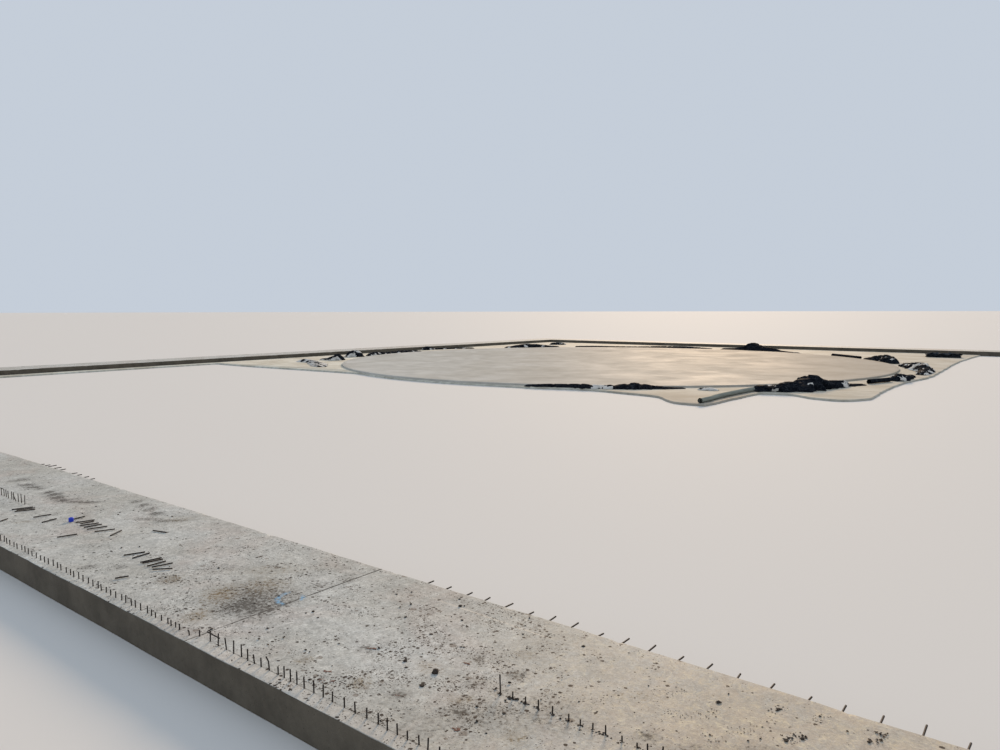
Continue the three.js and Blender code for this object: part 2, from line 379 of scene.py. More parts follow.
def cast_concrete(settings):
    # Concrete, tamped and trowelled: pale laitance over grey, soiled where boots and boards have been
    material, tree, place = begin("cast_concrete_trowelled")
    cast, formed_shaded = settings.cast_colour[:], settings.formed_shaded_colour[:]
    x, y, _ = node(tree, "SeparateXYZ", place).node.outputs
    blotch = node(tree, "TexNoise", place, 1.1, 6.0, 0.6)
    top = between(tree, blotch, 0.36, 0.62, dimmed(cast, 0.85, 0.83, 0.8), cast)
    # Clay washed over the top leaves it pinkish in broad patches
    wash = node(tree, "TexNoise", place, 0.8, 7.0, 0.68, Distortion=0.8)
    top = layered(tree, top, ("#b0998f", node(tree, "MapRange", wash, 0.48, 0.68, 0.0, 0.34)))
    # Fines brought up by the tamping beam: faint ridges about 25 mm apart, and mottling of 5 to 40 mm
    combed = node(tree, "Mapping", place, Rotation=(0, 0, 0.35), Scale=(38.0, 7.0, 1.0))
    comb = node(tree, "TexNoise", combed, 1.0, 6.0, 0.62, Distortion=0.6)
    mottle = node(tree, "TexNoise", place, 24.0, 8.0, 0.8)
    patchy = node(tree, "TexNoise", place, 6.0, 5.0, 0.6, Distortion=1.0)
    sand = node(tree, "TexNoise", place, 72.0, 4.0, 0.7)
    top = shaded(tree, top, (mottle, 0.32, 0.68, 0.68, 1.22), (patchy, 0.34, 0.62, 0.88, 1.06),
                 (comb, 0.34, 0.66, 0.92, 1.06), (sand, 0.36, 0.64, 0.78, 1.12))
    # The strip's right end is tinted warm: dried clay dust lies there, with a painted warm cast of the low
    # key light laid over it. The clay was smeared about while wet, in pale and dark strokes 10 to 60 mm
    # across, with swirls of yellowish laitance 5 to 10 mm wide.
    dust = node(tree, "Attribute", attribute_name="dust", out="Fac")
    smeared = node(tree, "TexNoise", place, 15.0, 9.0, 0.82, Distortion=0.9)
    pale = node(tree, "MapRange", smeared, 0.5, 0.62, 0.0, 0.5)
    dark = node(tree, "MapRange", smeared, 0.48, 0.36, 0.0, 0.5)
    swirl = node(tree, "TexNoise", place, 6.5, 2.5, 0.55, Distortion=2.2)
    drawn = line_mask(tree, swirl, 0.5, 0.004, 0.026, 0.8)
    broken = node(tree, "MapRange", mottle, 0.44, 0.58)
    top = layered(tree, top, ("#ad9b84", dust, patchy), ("#d3c5a6", pale, dust), ("#8b8073", dark, dust),
                  ("#d6ccb0", drawn, broken, dust))
    # Soiled places, kept at the mesh's points and broken up here
    tread = node(tree, "TexNoise", place, 44.0, 7.0, 0.75)
    for layer, dirt in (("soil", "#38342f"), ("ochre", "#726143")):
        amount = node(tree, "Attribute", attribute_name=layer, out="Fac")
        raised = node(tree, "Math", amount, 0.24, tread, operation="MULTIPLY_ADD")
        dab = node(tree, "MapRange", raised, 0.56, 0.72, 0.0, 0.85)
        stain = node(tree, "Math", amount, 0.42, operation="MULTIPLY")
        dab = node(tree, "Math", dab, stain, operation="MAXIMUM")
        top = layered(tree, top, (dirt, dab, node(tree, "MapRange", amount, 0.02, 0.2)))
    # A pale ridge that the trowel's edge left, about 12 mm wide
    ridge = node(tree, "VectorMath", place, (0.035, 1.0, 0.0), operation="DOT_PRODUCT")
    ridge = line_mask(tree, ridge, -17.512, 0.003, 0.011, 0.55)
    faded = node(tree, "MapRange", x, 8.1, 8.5)
    ended = node(tree, "MapRange", x, 9.1, 9.3, 1.0, 0.0)
    # The edging trowel closed the outer 70 mm smooth, and left a thin dark groove along the bars' feet
    edging = node(tree, "MapRange", y, -19.052, -19.035, 0.42, 0.0)
    eastward = node(tree, "MapRange", x, JOINT_X, JOINT_X + 0.3)
    groove = line_mask(tree, y, -19.037, 0.002, 0.005, 0.75)
    # The joint between the last two bays, opened a little by shrinkage
    joint = line_mask(tree, x, JOINT_X, 0.002, 0.007, 0.7)
    top = layered(tree, top, ("#d4cdc0", ridge, faded, ended), ("#c1bdb6", edging, eastward),
                  ("#3a3530", groove, eastward, broken), ("#4a443d", joint))
    # Dabs of mud, 3 to 16 mm across, in drifts where the strip was walked on
    walked = node(tree, "Attribute", attribute_name="walked", out="Fac")
    crowd = node(tree, "TexNoise", place, 4.2, 6.0, 0.72)
    crowd = node(tree, "MapRange", crowd, 0.46, 0.62, 0.05, 1.0)
    kept = node(tree, "Math", crowd, walked, operation="MULTIPLY")
    few = node(tree, "Math", kept, 0.45, operation="MULTIPLY")
    top = specks(tree, place, 13.0, 0.05, 0.27, few, top, "#5f5044", 0.55)
    top = specks(tree, place, 34.0, 0.08, 0.4, kept, top, "#2f2722", 0.95)
    top = specks(tree, place, 62.0, 0.12, 0.44, few, top, "#2d2621", 0.95)
    top = specks(tree, place, 120.0, 0.2, 0.5, few, top, "#3a322c", 0.9)
    top = spray_arcs(tree, place, top)
    # Sides: damp and mottled, with small holes that air bubbles left at the boards. Their colour is set
    # darker than the concrete's own, as painted shade: the sides face away from the key light.
    soaked = node(tree, "TexNoise", place, 3.4, 5.0, 0.6)
    side = between(tree, soaked, 0.36, 0.58, dimmed(formed_shaded, 0.7, 0.7, 0.7), formed_shaded)
    side = shaded(tree, side, (mottle, 0.3, 0.7, 0.82, 1.14))
    bubbles = node(tree, "TexVoronoi", place, 40.0)
    side = layered(tree, side, ("#1e1c19", node(tree, "MapRange", bubbles, 0.06, 0.12, 0.8, 0.0)))
    normal = node(tree, "SeparateXYZ", node(tree, "NewGeometry", out="True Normal")).node.outputs
    colour = between(tree, normal["Z"], 0.3, 0.75, side, top)
    grit = node(tree, "TexNoise", place, 160.0, 4.0)
    rough = node(tree, "MapRange", mottle, 0.3, 0.7, 0.6, 0.85)
    relief = node(tree, "Bump", 0.5, 0.004, Height=comb)
    relief = node(tree, "Bump", 0.55, 0.005, Height=mottle, Normal=relief)
    relief = node(tree, "Bump", 0.6, 0.002, Height=grit, Normal=relief)
    return close(material, Base_Color=colour, Roughness=rough, Normal=relief, IOR=1.5,
                 Specular_IOR_Level=0.12)


def blinding_concrete(settings):
    # Lean concrete, screeded by hand: pale, coarse and dusty, so it has no gloss
    material, tree, place = begin("blinding_concrete_screeded")
    fresh = settings.blinding_colour[:]
    blotch = node(tree, "TexNoise", place, 0.9, 7.0, 0.6)
    colour = between(tree, blotch, 0.38, 0.6, dimmed(fresh, 0.72, 0.69, 0.64), fresh)
    drag = node(tree, "Mapping", place, Rotation=(0, 0, 0.668), Scale=(0.9, 0.09, 1.0),
                vector_type="TEXTURE")
    screed = node(tree, "TexNoise", drag, 1.0, 6.0)
    colour = shaded(tree, colour, (screed, 0.32, 0.66, 0.78, 1.12))
    # The near corner is darker: painted shade for the ridges along the pad's edge there, which are not
    # modelled. The pad is also darker and warmer towards its right.
    away = node(tree, "VectorMath", place, (4.6, -5.6, PAD_TOP), operation="DISTANCE")
    corner_shade = node(tree, "MapRange", away, 0.8, 2.6, 0.55, 0.0)
    east = node(tree, "VectorMath", place, (*RIGHTWARD, 0.0), operation="DOT_PRODUCT")
    warmer_right = node(tree, "MapRange", east, -6.0, 5.0, 0.0, 0.4)
    colour = layered(tree, colour, ("#8d8478", corner_shade), ("#94897a", warmer_right))
    grit = node(tree, "TexNoise", place, 60.0, 5.0)
    relief = node(tree, "Bump", 0.6, 0.006, Height=screed)
    relief = node(tree, "Bump", 0.5, 0.003, Height=grit, Normal=relief)
    return close(material, Base_Color=colour, Roughness=0.85, Normal=relief, IOR=1.5)


def floated_concrete(settings):
    # Concrete closed by a power float: pale and tight, with a satin sheen that breaks into patches
    material, tree, place = begin("floor_concrete_power_floated")
    fresh = settings.floated_colour[:]
    # The float passes in sweeps about 1 m wide at this scale
    patch = node(tree, "TexNoise", place, 0.55, 6.0, 0.6, Distortion=0.6)
    sweep = node(tree, "TexNoise", place, 2.2, 5.0, 0.55)
    colour = between(tree, patch, 0.36, 0.64, dimmed(fresh, 0.84, 0.83, 0.81), fresh)
    colour = shaded(tree, colour, (sweep, 0.3, 0.7, 0.88, 1.07))
    # Painted warm cast of the low key light, laid over the near right of the floor as a warmer tone
    east = node(tree, "VectorMath", place, (*RIGHTWARD, 0.0), operation="DOT_PRODUCT")
    colour = layered(tree, colour, ("#ab9a84", node(tree, "MapRange", east, -7.0, 6.0, 0.0, 0.5)))
    rough = node(tree, "MapRange", patch, 0.35, 0.65, 0.6, 0.42)
    relief = node(tree, "Bump", 0.2, 0.004, Height=sweep)
    return close(material, Base_Color=colour, Roughness=rough, Normal=relief, IOR=1.5,
                 Specular_IOR_Level=0.0015)


def rusted_steel(settings):
    # Hot-rolled ribbed bar left in the rain: brown rust over dark mill scale
    material, tree, place = begin("reinforcing_steel_rusted")
    rust = settings.colour[:]
    flake = node(tree, "TexNoise", place, 120.0, 5.0)
    colour = between(tree, flake, 0.4, 0.65, dimmed(rust, 0.45, 0.45, 0.45), rust)
    relief = node(tree, "Bump", 0.4, 0.0008, Height=flake)
    return close(material, Base_Color=colour, Metallic=0.25, Roughness=0.72, Normal=relief)


def polythene(name, colour, crease_glint=0.0):
    # Low-density polythene, blown film: waxy gloss that breaks on fine wrinkles
    material, tree, place = begin(name)
    dust = node(tree, "TexNoise", place, 5.0, 7.0, 0.65)
    dusty = [c * 0.75 + d * 0.25 for c, d in zip(colour[:3], linear("#6d6860"))] + [1.0]
    share = node(tree, "MapRange", dust, 0.52, 0.8, 0.0, 0.2)
    tint = node(tree, "Mix", share, colour, dusty, data_type="RGBA")
    rough = node(tree, "MapRange", dust, 0.3, 0.75, 0.5, 0.75)
    wrinkle = node(tree, "TexVoronoi", place, 26.0, feature="F2")
    # Pale lines along the creases, where the dust noise lets them: painted highlight for the sky's glint
    # on the folds
    crease = node(tree, "TexNoise", place, 7.0, 3.0, 0.6, Distortion=1.4)
    crease = line_mask(tree, crease, 0.5, 0.004, 0.022, crease_glint)
    tint = layered(tree, tint, ("#8b949e", crease, dust))
    relief = node(tree, "Bump", 0.5, 0.006, Height=wrinkle)
    return close(material, Base_Color=tint, Roughness=rough, Normal=relief, IOR=1.51,
                 Specular_IOR_Level=0.0015)


def rolled_membrane(settings):
    # Coated polyester membrane, calendered: pale and dull, with long marks where it was wound
    material, tree, place = begin("membrane_coated_polyester")
    pale = settings.membrane[:]
    along = node(tree, "Mapping", place, Scale=(30.0, 2.0, 30.0))
    mark = node(tree, "TexNoise", along, 1.0, 5.0)
    colour = between(tree, mark, 0.35, 0.65, dimmed(pale, 0.7, 0.7, 0.7), pale)
    relief = node(tree, "Bump", 0.4, 0.003, Height=mark)
    return close(material, Base_Color=colour, Roughness=0.6, Normal=relief, IOR=1.5,
                 Specular_IOR_Level=0.01)


def moulded_cap():
    # Polythene cap, injection moulded: strong blue, scuffed by gravel
    material, tree, place = begin("bar_cap_moulded_polythene")
    scuff = node(tree, "TexNoise", place, 140.0, 4.0)
    colour = between(tree, scuff, 0.5, 0.7, linear("#1538c4"), linear("#2a4fcf"))
    relief = node(tree, "Bump", 0.2, 0.001, Height=scuff)
    return close(material, Base_Color=colour, Roughness=0.45, Normal=relief, IOR=1.51)


def dried_mud(name="clay_mud_dried", low="#1d1916", high="#443930"):
    # Clay carried up on boots and dried: dark, dull and crumbly
    material, tree, place = begin(name)
    lump = node(tree, "TexNoise", place, 40.0, 4.0)
    colour = node(tree, "Mix", lump, linear(low), linear(high), data_type="RGBA")
    relief = node(tree, "Bump", 0.5, 0.002, Height=lump)
    return close(material, Base_Color=colour, Roughness=0.95, Normal=relief)


# Pieces


def cast_bay(name, cell, seed):
    """One bay of a strip: a long block with a tamped top, worn arrises and slightly bulged sides."""
    low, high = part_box(name)
    size = high - low
    long_axis = 0 if size.x > size.y else 1
    length, width = size[long_axis], size[1 - long_axis]
    arris = 0.003
    across = max(6, round((width - 2 * arris) / cell))
    rise = max(2, round((size.z - arris) / cell))
    up = np.linspace(0, size.z - arris, rise + 1)
    over = np.linspace(arris, width - arris, across + 1)
    loop = [(0.0, z) for z in up] + [(arris * 0.3, size.z - arris * 0.3)]
    loop += [(y, size.z) for y in over] + [(width - arris * 0.3, size.z - arris * 0.3)]
    loop += [(width, z) for z in up[::-1]]
    loop = np.array(loop)
    steps = max(4, round(length / cell))
    at = np.concatenate([[0, arris * 0.3], np.linspace(arris, length - arris, steps + 1),
                         [length - arris * 0.3, length]])
    drop = np.zeros(len(at))
    drop[[0, -1]] = arris
    drop[[1, -2]] = arris * 0.3
    rows = np.repeat(at, len(loop))
    cross = np.tile(loop[:, 0], len(at))
    height = np.tile(loop[:, 1], len(at))
    height = np.where(height > size.z - arris * 0.9, height - np.repeat(drop, len(loop)), height)
    flat = np.stack([rows + seed, cross], 1)
    tamped = ripple(flat, 0.9, seed) * 0.0012 + ripple(flat, 0.2, seed + 1) * 0.0005
    is_top = height > size.z - arris * 1.2
    height = np.where(is_top, height - 0.0015 + np.minimum(tamped, 0.0015), height)
    # Spalls along both arrises, where boards were struck and boots have trodden
    edge = np.minimum(cross, width - cross) < arris * 1.1
    bite = np.clip(ripple(flat, 0.09, seed + 2) * 0.6 + ripple(flat, 0.7, seed + 3) * 0.6 - 1.2, 0, 1)
    deep = np.where(cross < width / 2, 0.003, 0.011)
    chip = np.where(edge & is_top, bite * deep + 0.0008, 0)
    inward = np.where(cross < width / 2, 1, -1)
    height = height - chip
    cross = cross + inward * chip * 0.7
    side = (height < size.z - arris * 1.5) & np.isin(np.tile(loop[:, 0], len(at)), (0, width))
    bulge = ripple(np.stack([rows + seed, height * 2], 1), 1.2, seed + 4) * 0.0008
    cross = cross + np.where(side, bulge, 0)
    points = np.zeros((len(rows), 3))
    points[:, long_axis] = low[long_axis] + rows
    points[:, 1 - long_axis] = low[1 - long_axis] + cross
    points[:, 2] = low.z + height
    faces = tube_faces(len(at), len(loop))
    if long_axis == 0:
        faces = [face[::-1] for face in faces]
    return points, faces


# Soiled places on the near strip: x, y, half length, half width and how dirty
SOIL = [
    (7.51, -18.61, 0.13, 0.17, 0.9), (7.58, -18.58, 0.07, 0.09, 1.0), (7.64, -18.73, 0.05, 0.05, 0.5),
    (7.58, -18.47, 0.08, 0.06, 0.9), (7.51, -18.13, 0.09, 0.07, 0.6), (7.55, -17.9, 0.06, 0.1, 0.45),
    (7.13, -18.6, 0.11, 0.14, 0.35), (6.61, -18.67, 0.08, 0.08, 0.4), (6.7, -18.3, 0.3, 0.14, 0.2),
    (7.34, -18.5, 0.26, 0.2, 0.85), (7.43, -18.6, 0.2, 0.17, 1.0),
    (7.5, -18.3, 0.1, 0.1, 0.5), (7.45, -18.75, 0.1, 0.12, 0.45),
    (8.32, -18.85, 0.05, 0.045, 0.2), (8.98, -18.8, 0.05, 0.03, 0.8), (9.32, -18.74, 0.05, 0.06, 0.9),
    (9.04, -18.28, 0.04, 0.05, 0.7), (8.48, -18.55, 0.05, 0.04, 0.7), (9.2, -18.49, 0.05, 0.05, 0.7),
    (8.75, -18.84, 0.05, 0.05, 0.15), (9.31, -18.28, 0.05, 0.045, 0.75), (10.086, -18.38, 0.05, 0.03, 0.7),
    (9.36, -18.46, 0.09, 0.05, 0.45), (9.5, -18.62, 0.4, 0.16, 0.36), (9.3, -18.88, 0.25, 0.14, 0.26),
    (9.62, -18.44, 0.16, 0.1, 0.34), (10.5, -18.2, 0.12, 0.05, 0.35), (10.3, -18.35, 0.16, 0.05, 0.35),
    (2.36, -18.12, 0.09, 0.1, 0.7), (2.68, -18.17, 0.08, 0.06, 0.9), (2.85, -18.16, 0.08, 0.06, 0.9),
    (2.97, -18.15, 0.06, 0.05, 0.7), (3.22, -18.16, 0.05, 0.08, 1.0), (3.36, -18.17, 0.07, 0.08, 1.0),
    (3.52, -18.19, 0.07, 0.07, 1.0), (3.68, -18.2, 0.07, 0.06, 1.0), (3.82, -18.17, 0.1, 0.045, 1.0),
    (3.96, -18.09, 0.12, 0.04, 1.0), (3.7, -18.09, 0.05, 0.05, 0.6), (4.3, -17.79, 0.05, 0.06, 0.7),
    (4.5, -17.82, 0.05, 0.07, 0.8), (4.7, -17.85, 0.05, 0.07, 0.8), (4.88, -17.88, 0.06, 0.07, 0.9),
    (4.98, -18.03, 0.1, 0.04, 0.8), (5.2, -17.92, 0.14, 0.035, 0.8), (5.9, -18.9, 0.08, 0.05, 0.5),
    (6.07, -18.77, 0.06, 0.04, 0.5), (4.35, -18.62, 0.3, 0.06, 0.25), (5.4, -18.69, 0.17, 0.1, 0.25),
    (1.2, -18.2, 0.2, 0.16, 0.35), (0.2, -18.3, 0.25, 0.2, 0.35), (-1.4, -18.15, 0.3, 0.2, 0.3),
]
# Places stained with ochre clay, in the same terms
OCHRE = [
    (7.13, -18.6, 0.11, 0.14, 0.75), (7.33, -18.89, 0.07, 0.1, 0.65), (6.61, -18.67, 0.08, 0.08, 0.55),
    (7.2, -18.35, 0.16, 0.16, 0.4), (7.0, -18.15, 0.2, 0.1, 0.3), (8.32, -18.85, 0.05, 0.045, 0.45),
    (8.75, -18.84, 0.05, 0.06, 0.6), (8.89, -18.5, 0.05, 0.065, 0.5), (9.25, -18.64, 0.05, 0.035, 0.6),
    (9.64, -18.74, 0.04, 0.045, 0.6), (5.22, -17.85, 0.14, 0.09, 0.35), (4.2, -18.75, 0.1, 0.05, 0.3),
    (9.2, -18.1, 0.12, 0.06, 0.25), (9.9, -18.1, 0.14, 0.06, 0.25),
]


def soiling(points, places):
    """How dirty each point is, from the soiled places round it, drawn out along the view's right."""
    total = np.zeros(len(points))
    c, s = facing(VIEW_TURN)
    for x, y, length, width, amount in places:
        dx, dy = points[:, 0] - x, points[:, 1] - y
        near = ((dx * c + dy * s) / length) ** 2 + ((dy * c - dx * s) / width) ** 2
        total = np.maximum(total, amount * np.exp(-near * 0.8))
    return total


class WORKS_OT_cast_strips(bpy.types.Operator):
    """Cast strip footings, bay by bay"""
    bl_idname = "works.cast_strips"
    bl_label = "Cast strips"

    def execute(self, context):
        concrete = cast_concrete(context.scene.works_concrete)
        bays = sorted(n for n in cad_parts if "_strip_bay_" in n)
        for number, name in enumerate(bays):
            seen = name in ("near_strip_bay_3", "near_strip_bay_4")
            cell = 0.025 if seen else 0.06 if name.startswith("near") else 0.12
            shape = cast_bay(name, cell, 11 + 7 * number)
            bay = piece("cast_" + name, shape, [concrete], (name,), crease=18)
            x, y = shape[0][:, 0], shape[0][:, 1]
            busy = 0.8 * np.exp(-((x - 8.85) / 0.62) ** 2) + 0.5 * np.exp(-((x - 7.0) / 0.7) ** 2)
            walked = 0.24 + (busy - 0.16 * np.clip((x - 9.5) / 0.5, 0, 1)) * (y < 0)
            walked += 0.4 * np.exp(-((x - 9.55) / 0.42) ** 2 - ((y + 18.6) / 0.24) ** 2)
            # Clay dust, and a painted warm cast of the key light, both growing towards the strip's right end
            dust = 0.02 + 0.78 * np.clip((x - 8.7) / 1.4, 0, 1)
            dust *= 1 - 0.5 * np.clip((-18.3 - y) / 0.3, 0, 1) * np.clip((10.4 - x) / 0.6, 0, 1)
            soil, ochre = soiling(shape[0], SOIL), soiling(shape[0], OCHRE)
            paint(bay, soil=soil, ochre=ochre, walked=walked, dust=dust)
        return {"FINISHED"}


def outline_of(name):
    """The loop of a flat CAD piece's top, as points in plan, anticlockwise."""
    mesh = bmesh.new()
    mesh.from_mesh(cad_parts[name].data)
    bmesh.ops.remove_doubles(mesh, verts=mesh.verts, dist=1e-5)
    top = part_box(name)[1].z
    edges = [e for e in mesh.edges if all(abs(v.co.z - top) < 1e-5 for v in e.verts)
             and any(f.normal.z < 0.5 for f in e.link_faces)]
    follow = {}
    for e in edges:
        a, b = e.verts
        follow.setdefault(a.index, []).append(b.index)
        follow.setdefault(b.index, []).append(a.index)
    mesh.verts.ensure_lookup_table()
    start = edges[0].verts[0].index
    loop, before, here = [start], None, start
    while True:
        ahead = [k for k in follow[here] if k != before]
        before, here = here, ahead[0]
        if here == start:
            break
        loop.append(here)
    points = np.array([mesh.verts[k].co[:2] for k in loop])
    mesh.free()
    x, y = points.T
    if (x * np.roll(y, -1) - np.roll(x, -1) * y).sum() < 0:
        points = points[::-1]
    return points


def resampled(loop, step):
    """A closed loop in plan with its corners kept and its long sides divided."""
    out = []
    for a, b in zip(loop, np.roll(loop, -1, axis=0)):
        parts = max(1, round(np.linalg.norm(b - a) / step))
        out += [a + (b - a) * k / parts for k in range(parts)]
    return np.array(out)


def lean_slab(name, step, ragged, seed):
    """A thin slab of lean concrete with a slumped, ragged edge where nothing holds it."""
    low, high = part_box(name)
    loop = resampled(outline_of(name), step)
    ahead = np.roll(loop, -1, axis=0) - np.roll(loop, 1, axis=0)
    out = unit(np.stack([ahead[:, 1], -ahead[:, 0]], 1))
    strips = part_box("near_strip_bay_1")[0].x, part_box("far_strip_bay_1")[0].y
    free = (loop[:, 0] > strips[0] + 0.04) & (loop[:, 1] < strips[1] - 0.04)
    wander = (ripple(loop, 0.9, seed) * 0.5 + ripple(loop, 0.22, seed + 1) * 0.35
              + ripple(loop, 0.1, seed + 2) * 0.15)
    shift = np.where(free, wander * ragged, 0)
    height = high.z - low.z
    rings = [(0.2, 0.0), (0.5, 0.22), (-0.7, 0.62), (-2.3, 0.9), (-4.8, 1.0)]
    points = []
    for outward, share in rings:
        step_out = shift + np.where(free, outward * ragged * 0.5, min(outward, 0) * 0.004)
        edge = loop + out * step_out[:, None]
        points.append(np.column_stack([edge, np.full(len(loop), low.z + height * share)]))
    return np.concatenate(points), tube_faces(len(rings), len(loop))


class WORKS_OT_blinding(bpy.types.Operator):
    """Blinding pad, and the blinding along the left strip"""
    bl_idname = "works.blinding"
    bl_label = "Blinding"

    def execute(self, context):
        concrete = blinding_concrete(context.scene.works_concrete)
        for name, seed in (("blinding_pad", 301), ("left_blinding_margin", 331)):
            shape = lean_slab(name, 0.05, 0.014, seed)
            piece("screeded_" + name, shape, [concrete], (name,), crease=35)
        return {"FINISHED"}


class WORKS_OT_floor_slab(bpy.types.Operator):
    """Round power-floated floor slab"""
    bl_idname = "works.floor_slab"
    bl_label = "Floor slab"

    def execute(self, context):
        concrete = floated_concrete(context.scene.works_concrete)
        low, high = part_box("round_floor_slab")
        turn = np.linspace(0, 2 * np.pi, 360, endpoint=False)
        arris = 0.005
        rings = [(SLAB_RADIUS, low.z), (SLAB_RADIUS, high.z - arris),
                 (SLAB_RADIUS - arris * 0.3, high.z - arris * 0.3), (SLAB_RADIUS - arris, high.z)]
        rings += [(r, high.z) for r in np.linspace(SLAB_RADIUS - 0.12, 0.12, 36)]
        rows = []
        for radius, z in rings:
            x = SLAB_CENTRE[0] + radius * np.cos(turn)
            y = SLAB_CENTRE[1] + radius * np.sin(turn)
            plan = np.stack([x, y], 1)
            level = ripple(plan, 3.1, 71) * 0.0006 if z > high.z - arris / 2 else 0 * x
            rows.append(np.stack([x, y, z - 0.0006 + level if z > low.z else z + level], 1))
        shape = np.concatenate(rows), tube_faces(len(rings), len(turn))
        piece("floated_round_floor_slab", shape, [concrete], ("round_floor_slab",),
              crease=35)
        return {"FINISHED"}


def standing_bar(foot, height, lean, turn, radius, hook=0.0):
    """A bar that stands in the concrete, leaning by lean towards turn, its top bent over by hook."""
    c, s = facing(turn)
    tilt = np.array([math.sin(lean) * c, math.sin(lean) * s, math.cos(lean)])
    path = [np.array(foot) - tilt * 0.006, np.array(foot)]
    if hook:
        path.append(path[1] + tilt * height * 0.7)
        bent = tilt + np.array([c, s, 0.2]) * hook
        path.append(path[2] + bent / np.linalg.norm(bent) * height * 0.4)
    else:
        path.append(path[1] + tilt * height)
    return rod(path, radius, pitch=0.008)


# Bars whose places can be read in the photograph: x along the row, and height in millimetres
SEEN_BARS = {
    "edge_starter_bars_3": [
        (7.163, 34), (7.233, 36), (7.297, 34), (7.346, 36), (7.391, 33), (7.44, 35), (7.55, 30)],
    "edge_starter_bars_4": [
        (7.612, 36), (7.719, 58), (7.808, 69), (7.883, 62), (7.959, 72), (8.025, 67), (8.089, 62),
        (8.15, 50), (8.21, 49), (8.28, 70), (8.355, 45), (8.404, 61), (8.463, 65), (8.511, 67), (8.57, 57),
        (8.645, 63), (8.712, 64), (8.784, 52), (8.865, 50), (8.946, 56), (9.02, 51), (9.098, 54),
        (9.165, 58), (9.225, 49), (9.288, 41), (9.352, 42), (9.41, 54), (9.48, 43), (9.549, 46),
        (9.618, 57)],
    "inner_starter_bars_right": [
        (9.36, 97), (9.438, 36), (9.512, 34), (9.587, 45), (9.665, 40), (9.755, 34), (9.817, 31),
        (9.877, 31), (9.944, 46), (10.027, 30), (10.099, 25)],
}
# Bars of those that were knocked: lean and its bearing in radians, and how far the top is bent over
BENT_BARS = {7.55: (0.1, 3.3, 1.6), 7.883: (0.2, 3.1, 0.0), 8.28: (0.1, 3.3, 0.8), 9.225: (0.12, 2.6, 0.0)}
# How mud has heaped at the feet of the inner row's first bars, from 0 to 1
MUDDY_FEET = (0.3, 1.0, 0.9, 0.35, 0.25, 0.6, 0.3, 0.3, 1.0, 0.35, 0.25)


def bar_feet(name, settings):
    """Where the bars of one row stand, x and height, with the slips of hand placing."""
    rng = np.random.default_rng(sum(ord(letter) for letter in name))
    low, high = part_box(name)
    seen = [(x, height / 1000) for x, height in SEEN_BARS.get(name, ())]
    first, last = (seen[0][0], seen[-1][0]) if seen else (high.x, high.x)
    feet, x = [], low.x + settings.diameter / 2
    while x < high.x - settings.diameter / 2:
        if not first - 0.04 < x < last + 0.04:
            feet.append((x, (high.z - low.z) * rng.uniform(0.84, 1.12)))
        x += settings.spacing * rng.uniform(0.82, 1.18)
    return sorted(feet + seen)


class WORKS_OT_starter_bars(bpy.types.Operator):
    """Rows of starter bars"""
    bl_idname = "works.starter_bars"
    bl_label = "Starter bars"

    def execute(self, context):
        settings = context.scene.works_steel
        steel = rusted_steel(settings)
        radius = settings.diameter / 2
        rows = [n for n in sorted(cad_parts) if "starter_bars" in n]
        for number, name in enumerate(rows):
            rng = np.random.default_rng(900 + number)
            read = [x for x, _ in SEEN_BARS.get(name, ())]
            line = row_of(name)
            parts = []
            for x, tall in bar_feet(name, settings):
                lean = abs(rng.normal()) * settings.lean
                turn = rng.uniform(0, 2 * math.pi)
                hook = 0.0
                chance = rng.uniform()
                if x in BENT_BARS:
                    lean, turn, hook = BENT_BARS[x]
                elif x not in read and chance < 0.03:
                    lean += math.radians(16)
                elif x not in read and chance < 0.05:
                    hook = rng.uniform(0.8, 1.6)
                foot = (x, line + rng.normal() * 0.003, STRIP_TOP - 0.001)
                parts.append(standing_bar(foot, tall, lean, turn, radius, hook))
            piece("ribbed_" + name, merged(parts), [steel], (name,), crease=50)
        return {"FINISHED"}


# Bars dropped on the strip: each from one end to the other, in plan
DROPPED = [
    (4.15, -18.64, 4.17, -18.5), (4.39, -18.66, 4.36, -18.53), (4.5, -18.46, 4.48, -18.34),
    (4.63, -18.48, 4.67, -18.34), (4.7, -18.47, 4.71, -18.36), (4.96, -18.76, 5.0, -18.62),
    (5.04, -18.5, 5.1, -18.36), (5.26, -18.47, 5.18, -18.34), (4.76, -18.5, 4.8, -18.36),
    (4.84, -18.5, 4.86, -18.36), (4.92, -18.51, 4.96, -18.36), (5.85, -18.64, 5.9, -18.5),
    (5.97, -18.63, 5.95, -18.49), (6.11, -18.64, 6.13, -18.49), (6.14, -18.64, 6.17, -18.5),
    (6.23, -18.65, 6.23, -18.51), (6.28, -18.64, 6.31, -18.5), (6.33, -18.66, 6.42, -18.56),
    (6.3, -18.91, 6.33, -18.83), (3.7, -18.66, 3.75, -18.5), (3.76, -18.64, 3.8, -18.5),
    (3.8, -18.67, 3.86, -18.52), (5.39, -18.18, 5.54, -18.14), (4.06, -18.87, 4.02, -18.8),
]
# Bars tied across a row: the row, then both ends as x, how far in from the row, and how high
TIED = [
    ("edge_starter_bars_4", (7.705, -0.006, 0.053), (7.83, -0.005, 0.049)),
    ("inner_starter_bars_left", (2.52, -0.012, 0.07), (3.0, 0.008, 0.066)),
]
# Dowels in the near strip's inner face: the first one's x, how many, and how far apart
DOWELS = ((1.315, 10, 0.151), (7.982, 41, 0.169))
# The bar cap's place in plan, and its profile from the foot outside to the bore's floor
CAP_PLACE = (4.54, -18.48)
CAP_PROFILE = ((0.019, 0.0), (0.021, 0.004), (0.021, 0.03), (0.018, 0.034), (0.0115, 0.034), (0.0115, 0.008))


